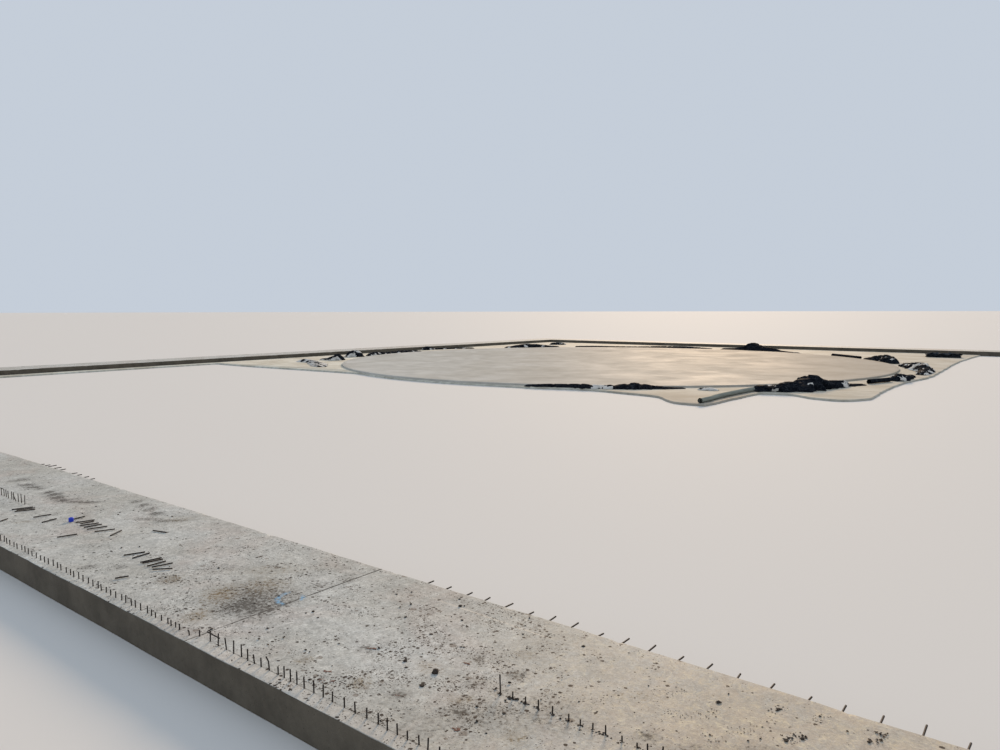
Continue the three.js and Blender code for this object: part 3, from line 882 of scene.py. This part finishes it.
class WORKS_OT_loose_steel(bpy.types.Operator):
    """Dowels in the strip's inner face, and the bars left lying on it"""
    bl_idname = "works.loose_steel"
    bl_label = "Dowels and loose bars"

    def execute(self, context):
        settings = context.scene.works_steel
        steel = rusted_steel(settings)
        radius = settings.diameter / 2
        thick = radius * 1.35
        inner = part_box("near_strip_bay_1")[1].y
        rng = np.random.default_rng(17)
        dowels = []
        for first, count, pitch in DOWELS:
            for k in range(count):
                x = first + k * pitch + rng.normal() * 0.004
                z = STRIP_TOP - 0.05 + rng.normal() * 0.003
                slip = rng.normal(size=3) * (0.006, 0.01, 0.006)
                tip = (x + slip[0], inner + 0.15 + slip[1], z + slip[2])
                dowels.append(rod([(x, inner - 0.01, z), tip], thick, pitch=0.009))
        z = STRIP_TOP + radius * 1.1 + 0.002
        dropped = [rod([(x0, y0, z), (x1, y1, z)], thick, pitch=0.01) for x0, y0, x1, y1 in DROPPED]
        tied = []
        for row, *ends in TIED:
            path = [(x, row_of(row) + y, STRIP_TOP + z) for x, y, z in ends]
            tied.append(rod(path, radius, pitch=0.008))
        for name, parts in (("dowel_bars", dowels), ("dropped_bars", dropped), ("tied_bars", tied)):
            piece(name, merged(parts), [steel], crease=50)
        # The blue cap that came off a bar's end
        turn = np.arange(20) * 2 * np.pi / 20
        rings = [np.stack([CAP_PLACE[0] + reach * np.cos(turn), CAP_PLACE[1] + reach * np.sin(turn),
                           STRIP_TOP + height + 0 * turn], 1) for reach, height in CAP_PROFILE]
        shape = np.concatenate(rings), tube_faces(len(rings), len(turn))
        piece("bar_cap", shape, [moulded_cap()], crease=35)
        return {"FINISHED"}


def spun(points, rng):
    """Points turned about the vertical by chance."""
    c, s = facing(rng.uniform(0, 2 * np.pi))
    return points @ np.array([[c, s, 0], [-s, c, 0], [0, 0, 1]])


def crumb(place, size, rng):
    """A lump of mud or a stone: a rough ball of seven sides, flattened below."""
    ring = 7
    turn = np.arange(ring) * 2 * np.pi / ring + rng.uniform(0, 1)
    points = [(0, 0, -0.1)]
    for reach, z in ((0.8, 0.0), (1.0, 0.35), (0.62, 0.75)):
        points += [(reach * math.cos(a), reach * math.sin(a), z) for a in turn]
    points.append((0, 0, 0.9))
    points = np.array(points) * rng.uniform(0.72, 1.25, (len(points), 3))
    points *= np.array([1, rng.uniform(0.55, 1), rng.uniform(0.35, 0.9)]) * size / 2
    faces = [[0, 1 + (k + 1) % ring, 1 + k] for k in range(ring)]
    faces += [[1 + k for k in face] for face in grid_faces(3, ring, closed=True)]
    top = 1 + 2 * ring
    faces += [[top + k, top + (k + 1) % ring, top + ring] for k in range(ring)]
    return spun(points, rng) + place, faces


def grain(place, size, rng, flat=0.55):
    """A small crumb: a squashed, lopsided octahedron; flat is its height as a share of its width."""
    points = np.array([(1, 0, 0.2), (0, 1, 0.2), (-1, 0, 0.2), (0, -1, 0.2), (0, 0, 0.8), (0, 0, -0.1)])
    points *= rng.uniform(0.6, 1.3, (6, 1))
    points *= np.array([1, rng.uniform(0.5, 1), flat * rng.uniform(0.7, 1.3)]) * size / 2
    faces = [[k, (k + 1) % 4, 4] for k in range(4)] + [[(k + 1) % 4, k, 5] for k in range(4)]
    return spun(points, rng) + place, faces


# Boot prints: x, y and the sole's bearing from +X in degrees
PRINTS = [
    (10.02, -17.94, 70), (10.05, -18.17, 60), (10.1, -18.15, 60), (10.16, -18.11, 65), (10.23, -18.04, 70),
    (10.64, -17.75, 75), (10.45, -17.97, 30), (10.32, -18.22, 20), (10.39, -18.08, 25), (10.47, -17.8, 80),
    (10.6, -18.0, 70), (9.31, -18.28, 40), (10.9, -17.8, 70), (11.3, -18.1, 60),
]
# Stones and lumps, each with its size
STONES = [
    (8.968, -18.523, 0.052), (9.009, -18.666, 0.032), (9.174, -18.014, 0.018), (8.038, -17.905, 0.02),
    (8.209, -18.039, 0.018), (8.228, -17.962, 0.016), (8.347, -18.126, 0.018), (8.416, -17.711, 0.02),
    (8.879, -18.225, 0.018), (8.722, -17.997, 0.016), (8.532, -18.513, 0.02), (9.349, -18.648, 0.018),
    (7.838, -18.42, 0.022), (7.822, -18.46, 0.018), (7.827, -18.738, 0.02), (7.91, -18.851, 0.018),
    (8.012, -18.863, 0.016), (8.002, -18.75, 0.02), (7.936, -18.459, 0.018), (5.644, -18.559, 0.02),
    (5.728, -18.458, 0.018), (4.648, -18.123, 0.022), (4.581, -18.076, 0.02), (4.607, -18.12, 0.018),
    (4.035, -17.967, 0.022), (4.188, -18.118, 0.02), (4.687, -17.954, 0.018), (9.799, -17.814, 0.01),
    (9.89, -17.975, 0.012), (9.642, -17.719, 0.009), (10.765, -17.799, 0.014), (9.815, -18.34, 0.011),
    (9.954, -18.24, 0.01), (10.087, -18.228, 0.009), (10.448, -18.142, 0.013), (10.485, -18.093, 0.012),
    (9.509, -18.171, 0.01), (9.701, -18.316, 0.012), (10.223, -17.912, 0.02), (10.468, -17.799, 0.018),
    (10.627, -17.986, 0.022), (10.577, -18.044, 0.02), (10.635, -17.745, 0.016), (10.3, -18.2, 0.014),
    (10.86, -17.83, 0.02), (9.43, -18.744, 0.02), (9.984, -18.427, 0.014), (10.231, -17.809, 0.012),
]
# Clods that dropped from the soles: x, y and length
CLODS = [
    (10.884, -17.801, 0.05), (10.891, -17.724, 0.045), (10.467, -17.801, 0.03), (10.616, -17.969, 0.04),
    (10.583, -18.023, 0.03), (10.222, -17.913, 0.025),
]
# Lines of flakes off the boards' facing: x, y, length and width
FLAKES = [
    (8.52, -18.856, 0.045, 0.02), (8.6, -18.926, 0.075, 0.014), (8.985, -18.802, 0.07, 0.012),
    (9.03, -18.35, 0.03, 0.02), (9.4, -18.85, 0.03, 0.02), (8.5, -18.54, 0.05, 0.01),
]


def strewn_crumbs(count, rng):
    """Crumbs in drifts over the near strip, thickest where it was walked on."""
    low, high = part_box("near_strip_bay_1")[0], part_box("near_strip_bay_4")[1]
    spots = np.stack([rng.uniform(low.x + 0.1, high.x - 0.1, count * 14),
                      rng.uniform(low.y + 0.02, high.y - 0.01, count * 14)], 1)
    thick = ripple(spots, 0.6, 61) + 1.1 * ripple(spots, 0.16, 62)
    busy = np.exp(-((spots[:, 0] - 8.8) / 0.6) ** 2) + 0.4 * np.exp(-((spots[:, 0] - 7.3) / 0.5) ** 2)
    chance = np.clip(0.006 + 0.012 * thick + 0.22 * busy * (0.3 + 0.7 * thick), 0.001, 1)
    spots = spots[rng.uniform(size=len(spots)) < chance][:count]
    sizes = np.clip(np.exp(rng.normal(math.log(0.0072), 0.62, len(spots))), 0.0035, 0.026)
    return [(crumb if size > 0.01 else grain)((x, y, STRIP_TOP - 0.0012), size, rng)
            for (x, y), size in zip(spots, sizes)]


def splashed_feet(settings, rng):
    """Mud round the feet of the inner row, splashed as the strip was poured."""
    row = "inner_starter_bars_right"
    line = row_of(row)
    parts = []
    for number, (x, _) in enumerate(bar_feet(row, settings)):
        heaped = MUDDY_FEET[number] if number < len(MUDDY_FEET) else rng.uniform(0, 0.5)
        for _ in range(int(3 + 16 * heaped)):
            spot = (x - 0.003 + rng.normal() * (0.006 + 0.011 * heaped),
                    line + rng.normal() * 0.006, STRIP_TOP - 0.001)
            parts.append(crumb(spot, rng.uniform(0.006, 0.012 + 0.004 * heaped), rng))
    return parts


def boot_prints(rng):
    """Flat flakes that fell out of the soles' tread, most of them at its ends and edges."""
    parts = []
    for x, y, turn in PRINTS:
        for a in np.arange(-4, 5) * 0.014:
            for b in np.arange(-2, 3) * 0.013:
                if rng.uniform() < 0.6 or (abs(b) > 0.02 and abs(a) > 0.05):
                    continue
                a1, b1 = a + rng.normal() * 0.003, b + rng.normal() * 0.003
                spot = (*turned(x, y, a1, b1, facing(math.radians(turn))), STRIP_TOP - 0.001)
                parts.append(grain(spot, rng.uniform(0.004, 0.011), rng, 0.3))
    return parts


def clods(rng):
    """Close heaps of lumps, drawn out along the view's right."""
    parts = []
    for x, y, length in CLODS:
        for _ in range(14):
            along, across = rng.uniform(-0.6, 0.6) * length, rng.normal() * length * 0.22
            spot = (*turned(x, y, along, across), STRIP_TOP - 0.0008)
            parts.append(crumb(spot, rng.uniform(0.005, 0.014), rng))
    return parts


def flakes(rng):
    """Thin flakes of the boards' red-brown facing, in short lines along the view's right."""
    parts = []
    for x, y, length, width in FLAKES:
        for _ in range(9):
            along, across = rng.uniform(-0.5, 0.5) * length, rng.normal() * width * 0.4
            spot = (*turned(x, y, along, across), STRIP_TOP - 0.0005)
            parts.append(grain(spot, rng.uniform(0.009, 0.022), rng, 0.12))
    return parts


class WORKS_OT_mud(bpy.types.Operator):
    """Crumbs of mud, boot prints and stones left on the near strip"""
    bl_idname = "works.mud"
    bl_label = "Mud and stones"

    def execute(self, context):
        mud = dried_mud()
        rng = np.random.default_rng(5)
        crumbs = strewn_crumbs(context.scene.works_concrete.crumbs, rng)
        piece("mud_crumbs", merged(crumbs), [mud])
        piece("mud_at_bars", merged(splashed_feet(context.scene.works_steel, rng)), [mud])
        piece("boot_prints", merged(boot_prints(rng)), [mud])
        stones = [crumb((x, y, STRIP_TOP - 0.001), size, rng) for x, y, size in STONES]
        piece("stones_on_strip", merged(stones), [mud])
        piece("clods_on_strip", merged(clods(rng)), [mud])
        flaked = dried_mud("board_facing_flakes", "#472c23", "#7f5f53")
        piece("facing_flakes", merged(flakes(rng)), [flaked])
        return {"FINISHED"}


# The share of white film that shows on a heap, then its route. Each knot is a bearing from the slab's
# centre in degrees and, in metres at full size, how far out from the rim the heap's middle is, half
# its width and its height.
HEAPS = {
    "sheet_scraps_left": (0.6, [
        (218.2, 3.9, 0.35, 0.14), (219, 3.2, 0.4, 0.22), (221.5, 2.4, 0.45, 0.16), (225.5, 1.9, 0.5, 0.15),
        (229.5, 1.7, 0.5, 0.12), (233.5, 1.5, 0.4, 0.08)]),
    "sheet_heap_left_corner": (0.3, [
        (213.8, 2.7, 0.25, 0.1), (213.8, 2, 0.3, 0.2), (213.5, 1.3, 0.42, 0.5), (212.6, 0.85, 0.35, 0.28)]),
    "sheet_heap_left": (0.3, [
        (203.8, 2, 0.35, 0.25), (202.5, 1.6, 0.45, 0.55), (201.4, 1.2, 0.42, 0.5), (200.6, 0.95, 0.3, 0.2)]),
    "sheet_band_left": (0.12, [
        (199.2, 0.75, 0.3, 0.15), (196.3, 0.8, 0.35, 0.3), (191.7, 0.45, 0.35, 0.22), (187, 0.4, 0.33, 0.28),
        (182, 0.4, 0.3, 0.22), (178.5, 0.4, 0.25, 0.13)]),
    "sheet_fold_left": (0.05, [
        (172.4, 2.9, 0.3, 0.25), (170.6, 2.85, 0.35, 0.35), (168.4, 2.9, 0.28, 0.15),
        (162.8, 2.75, 0.22, 0.12), (157.6, 2.3, 0.2, 0.1)]),
    "sheet_heap_far_left": (0.1, [
        (150.5, 0.55, 0.4, 0.15), (146.2, 0.65, 0.55, 0.35), (142.5, 0.7, 0.6, 0.46),
        (138.1, 0.65, 0.55, 0.3), (133.7, 0.55, 0.4, 0.15)]),
    "sheet_heap_far_corner": (0.15, [
        (133.7, 7.8, 0.45, 0.18), (131.8, 7.7, 0.5, 0.25), (129.8, 7.6, 0.4, 0.15)]),
    "sheet_band_far": (0.0, [
        (129, 1.8, 0.2, 0.12), (124.3, 1.75, 0.22, 0.15), (117.3, 0.75, 0.22, 0.16),
        (110.5, 0.4, 0.24, 0.18), (104.6, 0.35, 0.22, 0.25), (97, 0.35, 0.24, 0.26),
        (89.7, 0.35, 0.2, 0.13)]),
    "sheet_heap_far": (0.0, [
        (88.4, 1.2, 0.35, 0.15), (83.7, 1.3, 0.5, 0.25), (81.6, 1.4, 0.7, 0.55), (79.9, 1.4, 0.8, 0.78),
        (78.1, 1.3, 0.75, 0.65), (76.1, 1, 0.58, 0.45), (73.8, 0.75, 0.5, 0.42), (71.6, 0.7, 0.38, 0.28),
        (69, 0.75, 0.25, 0.14), (64.9, 0.9, 0.2, 0.08)]),
    "sheet_heap_far_right": (0.04, [
        (40.8, 0.4, 0.3, 0.12), (38.2, 0.5, 0.4, 0.3), (35.4, 0.65, 0.55, 0.52), (32.6, 0.7, 0.6, 0.56),
        (30.2, 0.75, 0.5, 0.45), (28, 0.8, 0.3, 0.18)]),
    "sheet_heap_right": (0.16, [
        (23.5, 0.75, 0.35, 0.2), (19.5, 0.85, 0.45, 0.3), (15.5, 1.15, 0.55, 0.44), (11.5, 1.35, 0.55, 0.46),
        (7.5, 1.45, 0.45, 0.3), (4, 1.45, 0.35, 0.22), (1, 1.45, 0.28, 0.14)]),
    "sheet_strip_right": (0.1, [
        (-2, 1.1, 0.25, 0.1), (-4.2, 1.2, 0.3, 0.12), (-6.5, 1.35, 0.3, 0.14), (-9.4, 1.45, 0.4, 0.3),
        (-11.3, 1.45, 0.42, 0.38), (-12.9, 1.4, 0.3, 0.2)]),
    "sheet_heap_near_right": (0.008, [
        (-21.7, 1.7, 0.2, 0.07), (-25, 1.65, 0.35, 0.13), (-25.8, 1.65, 0.4, 0.3), (-27, 1.75, 0.45, 0.34),
        (-28.5, 1.8, 0.5, 0.36), (-30, 1.9, 0.55, 0.42), (-31.3, 1.95, 0.68, 0.55), (-32.5, 2, 0.75, 0.72),
        (-34.5, 2.15, 0.75, 0.5), (-37.6, 2.35, 0.65, 0.4), (-40.2, 2.1, 0.45, 0.28),
        (-41.4, 2.2, 0.3, 0.2)]),
    "sheet_band_near": (0.0, [
        (-48.8, 0.5, 0.16, 0.06), (-50.7, 0.5, 0.2, 0.08), (-53, 0.5, 0.3, 0.16), (-54.6, 0.5, 0.36, 0.24),
        (-56.1, 0.52, 0.4, 0.3), (-58.3, 0.55, 0.36, 0.2), (-60.7, 0.48, 0.32, 0.18),
        (-63.1, 0.36, 0.28, 0.2), (-65.7, 0.29, 0.2, 0.17), (-68.5, 0.27, 0.18, 0.15),
        (-71.8, 0.27, 0.16, 0.07)]),
    "scrap_by_roll": (0.7, [
        (-47.4, 1.0, 0.2, 0.08), (-46.2, 1.35, 0.24, 0.13), (-45.2, 1.6, 0.15, 0.06)]),
}
# Where more of the white face is turned out, as bearings
TURNED_OUT = {
    "sheet_heap_near_right": [(-27.3, -25.2), (-39.2, -38.7)],
    "sheet_band_near": [(-61.8, -58.8)],
    "sheet_heap_right": [(10.6, 13.2)],
}
# Rolls of film: the route's knots are as in HEAPS
ROLLS = {
    "sheet_roll_far_right": [
        (52.8, 0.35, 0.16, 0.26), (49.3, 0.35, 0.17, 0.3), (45.8, 0.35, 0.17, 0.3),
        (42.4, 0.35, 0.16, 0.26)],
    "sheet_roll_right": [(-14.3, 1.5, 0.15, 0.26), (-17, 1.5, 0.16, 0.28), (-19.9, 1.5, 0.15, 0.26)],
}


def along_route(route, step):
    """Stations about step metres apart on a heap's route: places in plan, half widths and heights."""
    knots = []
    for bearing, out, half, height in route:
        reach = SLAB_RADIUS + out * MODEL_SCALE
        middle = turned(*SLAB_CENTRE, reach, 0, facing(math.radians(bearing)))
        knots.append((*middle, half * MODEL_SCALE, height * MODEL_SCALE))
    knots = np.array(knots)
    padded = np.concatenate([[2 * knots[0] - knots[1]], knots, [2 * knots[-1] - knots[-2]]])
    fine = []
    for k in range(len(knots) - 1):
        a, b, c, d = padded[k:k + 4]
        for t in np.linspace(0, 1, 24, endpoint=False):
            fine.append(0.5 * (2 * b + (c - a) * t + (2 * a - 5 * b + 4 * c - d) * t ** 2
                               + (3 * b - a - 3 * c + d) * t ** 3))
    fine = np.array([*fine, knots[-1]])
    reach = run_of(fine[:, :2])
    at = np.linspace(0, reach[-1], max(4, round(reach[-1] / step)) + 1)
    return at, np.stack([np.interp(at, reach, fine[:, k]) for k in range(4)], 1)


def bed(x, y):
    """Height of what the sheeting lies on: the slab inside its rim, and the pad outside it."""
    inside = np.hypot(x - SLAB_CENTRE[0], y - SLAB_CENTRE[1]) < SLAB_RADIUS + 0.004
    return np.where(inside, SLAB_TOP, PAD_TOP)


def bunched_film(route, white, places, cell, seed):
    """One crumpled layer of film over a heap's route, and which of its faces show the white side."""
    at, stations = along_route(route, cell)
    half, height = stations[:, 2], stations[:, 3]
    ahead = unit(np.gradient(stations[:, :2], axis=0))
    side = np.stack([ahead[:, 1], -ahead[:, 0]], 1)
    columns = max(14, round(2.6 * (half.max() + 0.6 * height.max()) / cell))
    v = np.linspace(-1, 1, columns)
    profile = np.interp(v, [-1, -0.82, -0.3, 0.15, 0.7, 1], [0, 0.5, 0.96, 1, 0.66, 0])
    u, w = np.meshgrid(at, v, indexing="ij")
    flat = np.stack([u.ravel(), (w * half.mean() * 1.3).ravel()], 1)
    lobe = min(max(1.7 * half.mean(), 0.2), 0.46)
    shove = np.stack([ripple(flat, 1.6 * lobe, seed + k) for k in (0, 1)], 1)
    warped = flat + 0.12 * lobe * shove
    lobes = billow(warped * (0.75, 1.0), lobe, seed + 2)
    tucks = ripple(warped, 0.8 * lobe, seed + 3, 7, sharp=True)
    edge = np.abs(w.ravel())
    ends = np.clip(np.minimum(u, at[-1] - u).ravel() / (0.6 * half.mean() + 0.02), 0, 1)
    tall = np.repeat(height, columns)
    wide = np.repeat(half, columns)
    body = np.tile(profile, len(at)) * (0.2 + 0.8 * np.sin(ends * math.pi / 2))
    lift = tall * np.minimum(body * (0.48 + 0.78 * lobes) + 0.03 * np.clip(tucks, -1, 1), 0.99)
    sway = wide * (0.05 * tucks + 0.24 * edge ** 3 * ripple(warped, lobe, seed + 5))
    plan = (np.repeat(stations[:, :2], columns, axis=0)
            + np.repeat(side, columns, axis=0) * (w.ravel() * wide + sway)[:, None])
    clear = 0.003 + 0.004 * billow(flat, 0.12, seed + 7)
    z = np.maximum(PAD_TOP + np.maximum(lift, 0) + clear, bed(plan[:, 0], plan[:, 1]) + clear)
    points = np.column_stack([plan, z])
    faces = grid_faces(len(at), columns)
    first = [f[0] for f in faces]
    upturned = (ripple(flat[first] * (0.7, 1.2), 0.34, seed + 8) + 0.9 * edge[first] ** 2
                + 0.35 * ripple(flat[first], 0.09, seed + 9))
    pale = upturned > np.quantile(upturned, 1 - white) if white else np.zeros(len(faces), bool)
    bearing = np.degrees(np.arctan2(plan[first, 1] - SLAB_CENTRE[1], plan[first, 0] - SLAB_CENTRE[0]))
    for start, end in places:
        inside = (bearing > start) & (bearing < end)
        frayed = upturned > np.quantile(upturned[inside], 0.4)
        pale |= inside & frayed
    return (points, faces), pale.astype(int), at[-1]


def area_of(shape):
    """Area of a mesh of quads."""
    a, b, c, d = (shape[0][corner] for corner in np.array(shape[1]).T)
    halves = np.cross(b - a, c - a), np.cross(c - a, d - a)
    return sum(np.linalg.norm(half, axis=1).sum() for half in halves) / 2


def wound_sheet(path, outer, core, turns, wobble, seed):
    """One sheet wound on itself along a path. Gives its shape and how long the winding is."""
    ahead = unit(np.gradient(path, axis=0))
    side = unit(np.cross(ahead, (0, 0, 1.0)))
    up = np.cross(side, ahead)
    turn = np.linspace(0, 2 * np.pi * turns, int(26 * turns) + 1)
    radius = np.linspace(core, outer, len(turn))
    rows = []
    for k, centre in enumerate(path):
        spot = np.stack([turn, np.full(len(turn), k * 0.11)], 1)
        r = radius * (1 + wobble * ripple(spot, 2.4, seed))
        rows.append(centre + side[k] * (r * np.cos(turn))[:, None] + up[k] * (r * np.sin(turn))[:, None])
    spiral = np.stack([radius * np.cos(turn), radius * np.sin(turn)], 1)
    return (np.concatenate(rows), grid_faces(len(path), len(turn))), run_of(spiral)[-1]


class WORKS_OT_bunched_film(bpy.types.Operator):
    """Black polythene bunched up round the slab, with its white side showing in places"""
    bl_idname = "works.bunched_film"
    bl_label = "Bunched film"

    def execute(self, context):
        settings = context.scene.works_film
        black = polythene("polythene_film_black", settings.colour[:], 0.3)
        pale = polythene("polythene_film_white", settings.reverse[:])
        for number, (name, (white, route)) in enumerate(HEAPS.items()):
            shape, looks, length = bunched_film(route, white, TURNED_OUT.get(name, ()), settings.cell,
                                                1000 + 20 * number)
            stands_for = (name,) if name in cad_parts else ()
            film = piece("film_" + name, shape, [black, pale], stands_for, crease=38,
                         looks=looks)
            width = area_of(shape) / length
        for number, (name, route) in enumerate(ROLLS.items()):
            at, stations = along_route(route, 0.06)
            outer = 0.135 * MODEL_SCALE
            path = np.column_stack([stations[:, :2], np.full(len(at), PAD_TOP + outer * 1.04)])
            shape, wound = wound_sheet(path, outer, 0.02, 4, 0.035, 1500 + 20 * number)
            film = piece("film_" + name, shape, [black], (name,), crease=60)
        return {"FINISHED"}


class WORKS_OT_membrane_roll(bpy.types.Operator):
    """Pale membrane, rolled up at the pad's near corner"""
    bl_idname = "works.membrane_roll"
    bl_label = "Membrane roll"

    def execute(self, context):
        membrane = rolled_membrane(context.scene.works_film)
        low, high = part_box("membrane_roll")
        outer = (high.z - low.z) / 2
        ends = np.array([(high.x - outer, high.y), (low.x + outer, low.y)])
        share = np.linspace(0, 1, 40)
        plan = ends[0] + (ends[1] - ends[0]) * share[:, None]
        # It was dropped, so it lies in a long bow with a kick near the end that shows
        bow = -0.055 * np.sin(share * math.pi) + 0.03 * np.exp(-((share - 0.85) / 0.07) ** 2)
        path = np.column_stack([plan[:, 0] + bow, plan[:, 1], np.full(40, low.z + outer)])
        shape, wound = wound_sheet(path, outer * 0.985, 0.024, 5, 0.01, 77)
        roll = piece("wound_membrane", shape, [membrane], ("membrane_roll",), crease=60)
        return {"FINISHED"}


class WORKS_OT_folded_stack(bpy.types.Operator):
    """Stack of folded black sheeting on the pad's far corner"""
    bl_idname = "works.folded_stack"
    bl_label = "Folded stack"

    def execute(self, context):
        black = polythene("polythene_film_black_folded", linear("#33383e"), 0.3)
        low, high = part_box("folded_sheet_stack")
        size = high - low
        layers, lip = 9, 10
        pitch = (size.z - 0.02) / layers
        path = []
        for k in range(layers):
            ends = (0.04, size.y - 0.04) if k % 2 == 0 else (size.y - 0.04, 0.04)
            path += [(y, 0.008 + k * pitch) for y in np.linspace(*ends, 22)]
            if k < layers - 1:
                bow = 1 if k % 2 == 0 else -1
                for a in np.linspace(0, math.pi, lip + 2)[1:-1]:
                    path.append((ends[1] + bow * math.sin(a) * pitch * 0.62,
                                 0.008 + (k + 0.5 - 0.5 * math.cos(a)) * pitch))
        path = np.array(path)
        xs = np.linspace(0.02, size.x - 0.02, 56)
        reach = run_of(path)
        u, s = np.meshgrid(xs, reach, indexing="ij")
        spot = np.stack([u.ravel(), s.ravel()], 1)
        across, level = np.tile(path.T, len(xs))
        slump = ripple(np.stack([u.ravel(), across], 1), 0.45, 88)
        sink = 0.16 * level * (0.5 - 0.5 * slump)
        y = across + 0.016 * ripple(spot, 0.5, 83) + 0.01 * ripple(spot, 0.16, 84, sharp=True)
        x = u.ravel() + 0.02 * ripple(np.stack([s.ravel() * 0.3, level], 1), 0.25, 85)
        z = np.maximum(level - sink + 0.006 * ripple(spot, 0.2, 86, sharp=True), 0.003)
        points = np.column_stack([low.x + x, low.y + y, low.z + z])
        shape = points, grid_faces(len(xs), len(path))
        stack = piece("folded_film_stack", shape, [black], ("folded_sheet_stack",))
        return {"FINISHED"}


# The camera's place, and how far it looks down and is rolled, in degrees
CAMERA_PLACE = (11.525, -21.225, 2.05)
CAMERA_DOWN = 4.95
CAMERA_ROLL = -0.1
FLOOR_RADIUS = 900


class WORKS_OT_stage(bpy.types.Operator):
    """Pale floor, soft light and the camera"""
    bl_idname = "works.stage"
    bl_label = "Stage"

    def execute(self, context):
        scene, settings = context.scene, context.scene.works_stage
        mesh = bpy.data.meshes.new("studio_floor")
        turn = np.linspace(0, 2 * np.pi, 96, endpoint=False)
        rim = np.stack([FLOOR_RADIUS * np.cos(turn), FLOOR_RADIUS * np.sin(turn), 0 * turn - 0.001], 1)
        mesh.from_pydata(rim.tolist(), [], [list(range(len(turn)))])
        # Matt floor paint, rolled: even and without gloss
        paint_coat = begin("studio_floor_paint")[0]
        close(paint_coat, Base_Color=settings.floor[:], Roughness=0.9, Specular_IOR_Level=0.1)
        mesh.materials.append(paint_coat)
        place_object("studio_floor", mesh)
        world = bpy.data.worlds.new("studio_sky")
        world.use_nodes = True
        background = world.node_tree.nodes["Background"].inputs
        background["Color"].default_value = settings.sky[:]
        background["Strength"].default_value = 0.74
        scene.world = world
        lamp = bpy.data.lights.new("key_light", "SUN")
        lamp.energy = 3.4
        lamp.color = linear("#ffdfba")[:3]
        lamp.angle = math.radians(16)
        flat = math.cos(settings.sun_height)
        towards = Vector((-math.sin(settings.sun_turn) * flat, math.cos(settings.sun_turn) * flat,
                          math.sin(settings.sun_height)))
        place_object("key_light", lamp).rotation_euler = towards.to_track_quat("Z", "Y").to_euler()
        lens = bpy.data.cameras.new("photo_camera")
        lens.sensor_width = 36
        lens.lens = settings.lens
        lens.clip_start = 0.05
        lens.clip_end = 2000
        scene.camera = place_object("photo_camera", lens)
        scene.camera.matrix_world = (Matrix.Translation(CAMERA_PLACE)
                                     @ Matrix.Rotation(VIEW_TURN, 4, "Z")
                                     @ Matrix.Rotation(math.radians(90 - CAMERA_DOWN), 4, "X")
                                     @ Matrix.Rotation(math.radians(CAMERA_ROLL), 4, "Z"))
        scene.view_settings.view_transform = "Standard"
        return {"FINISHED"}


STEPS = ("cast_strips", "blinding", "floor_slab", "starter_bars", "loose_steel", "mud", "bunched_film",
         "membrane_roll", "folded_stack", "stage")


class WORKS_PT_panel(bpy.types.Panel):
    """Foundation works in the sidebar"""
    bl_idname = "WORKS_PT_panel"
    bl_label = "Foundation works"
    bl_space_type = "VIEW_3D"
    bl_region_type = "UI"
    bl_category = "Foundation"

    def draw(self, context):
        for step in STEPS:
            self.layout.operator("works." + step)
        for group in ("works_concrete", "works_steel", "works_film", "works_stage"):
            settings = getattr(context.scene, group)
            box = self.layout.box()
            for key in settings.bl_rna.properties.keys():
                if key not in ("rna_type", "name"):
                    box.prop(settings, key)


GROUPS = {"works_concrete": ConcreteSettings, "works_steel": SteelSettings, "works_film": FilmSettings,
          "works_stage": StageSettings}
CLASSES = (*GROUPS.values(), WORKS_OT_cast_strips, WORKS_OT_blinding, WORKS_OT_floor_slab,
           WORKS_OT_starter_bars, WORKS_OT_loose_steel, WORKS_OT_mud, WORKS_OT_bunched_film,
           WORKS_OT_membrane_roll, WORKS_OT_folded_stack, WORKS_OT_stage, WORKS_PT_panel)


def register():
    for cls in CLASSES:
        bpy.utils.register_class(cls)
    for name, cls in GROUPS.items():
        setattr(bpy.types.Scene, name, bpy.props.PointerProperty(type=cls))


def unregister():
    for name in GROUPS:
        delattr(bpy.types.Scene, name)
    for cls in reversed(CLASSES):
        bpy.utils.unregister_class(cls)


def main():
    register()
    for step in STEPS:
        getattr(bpy.ops.works, step)()


if __name__ == "__main__":
    main()
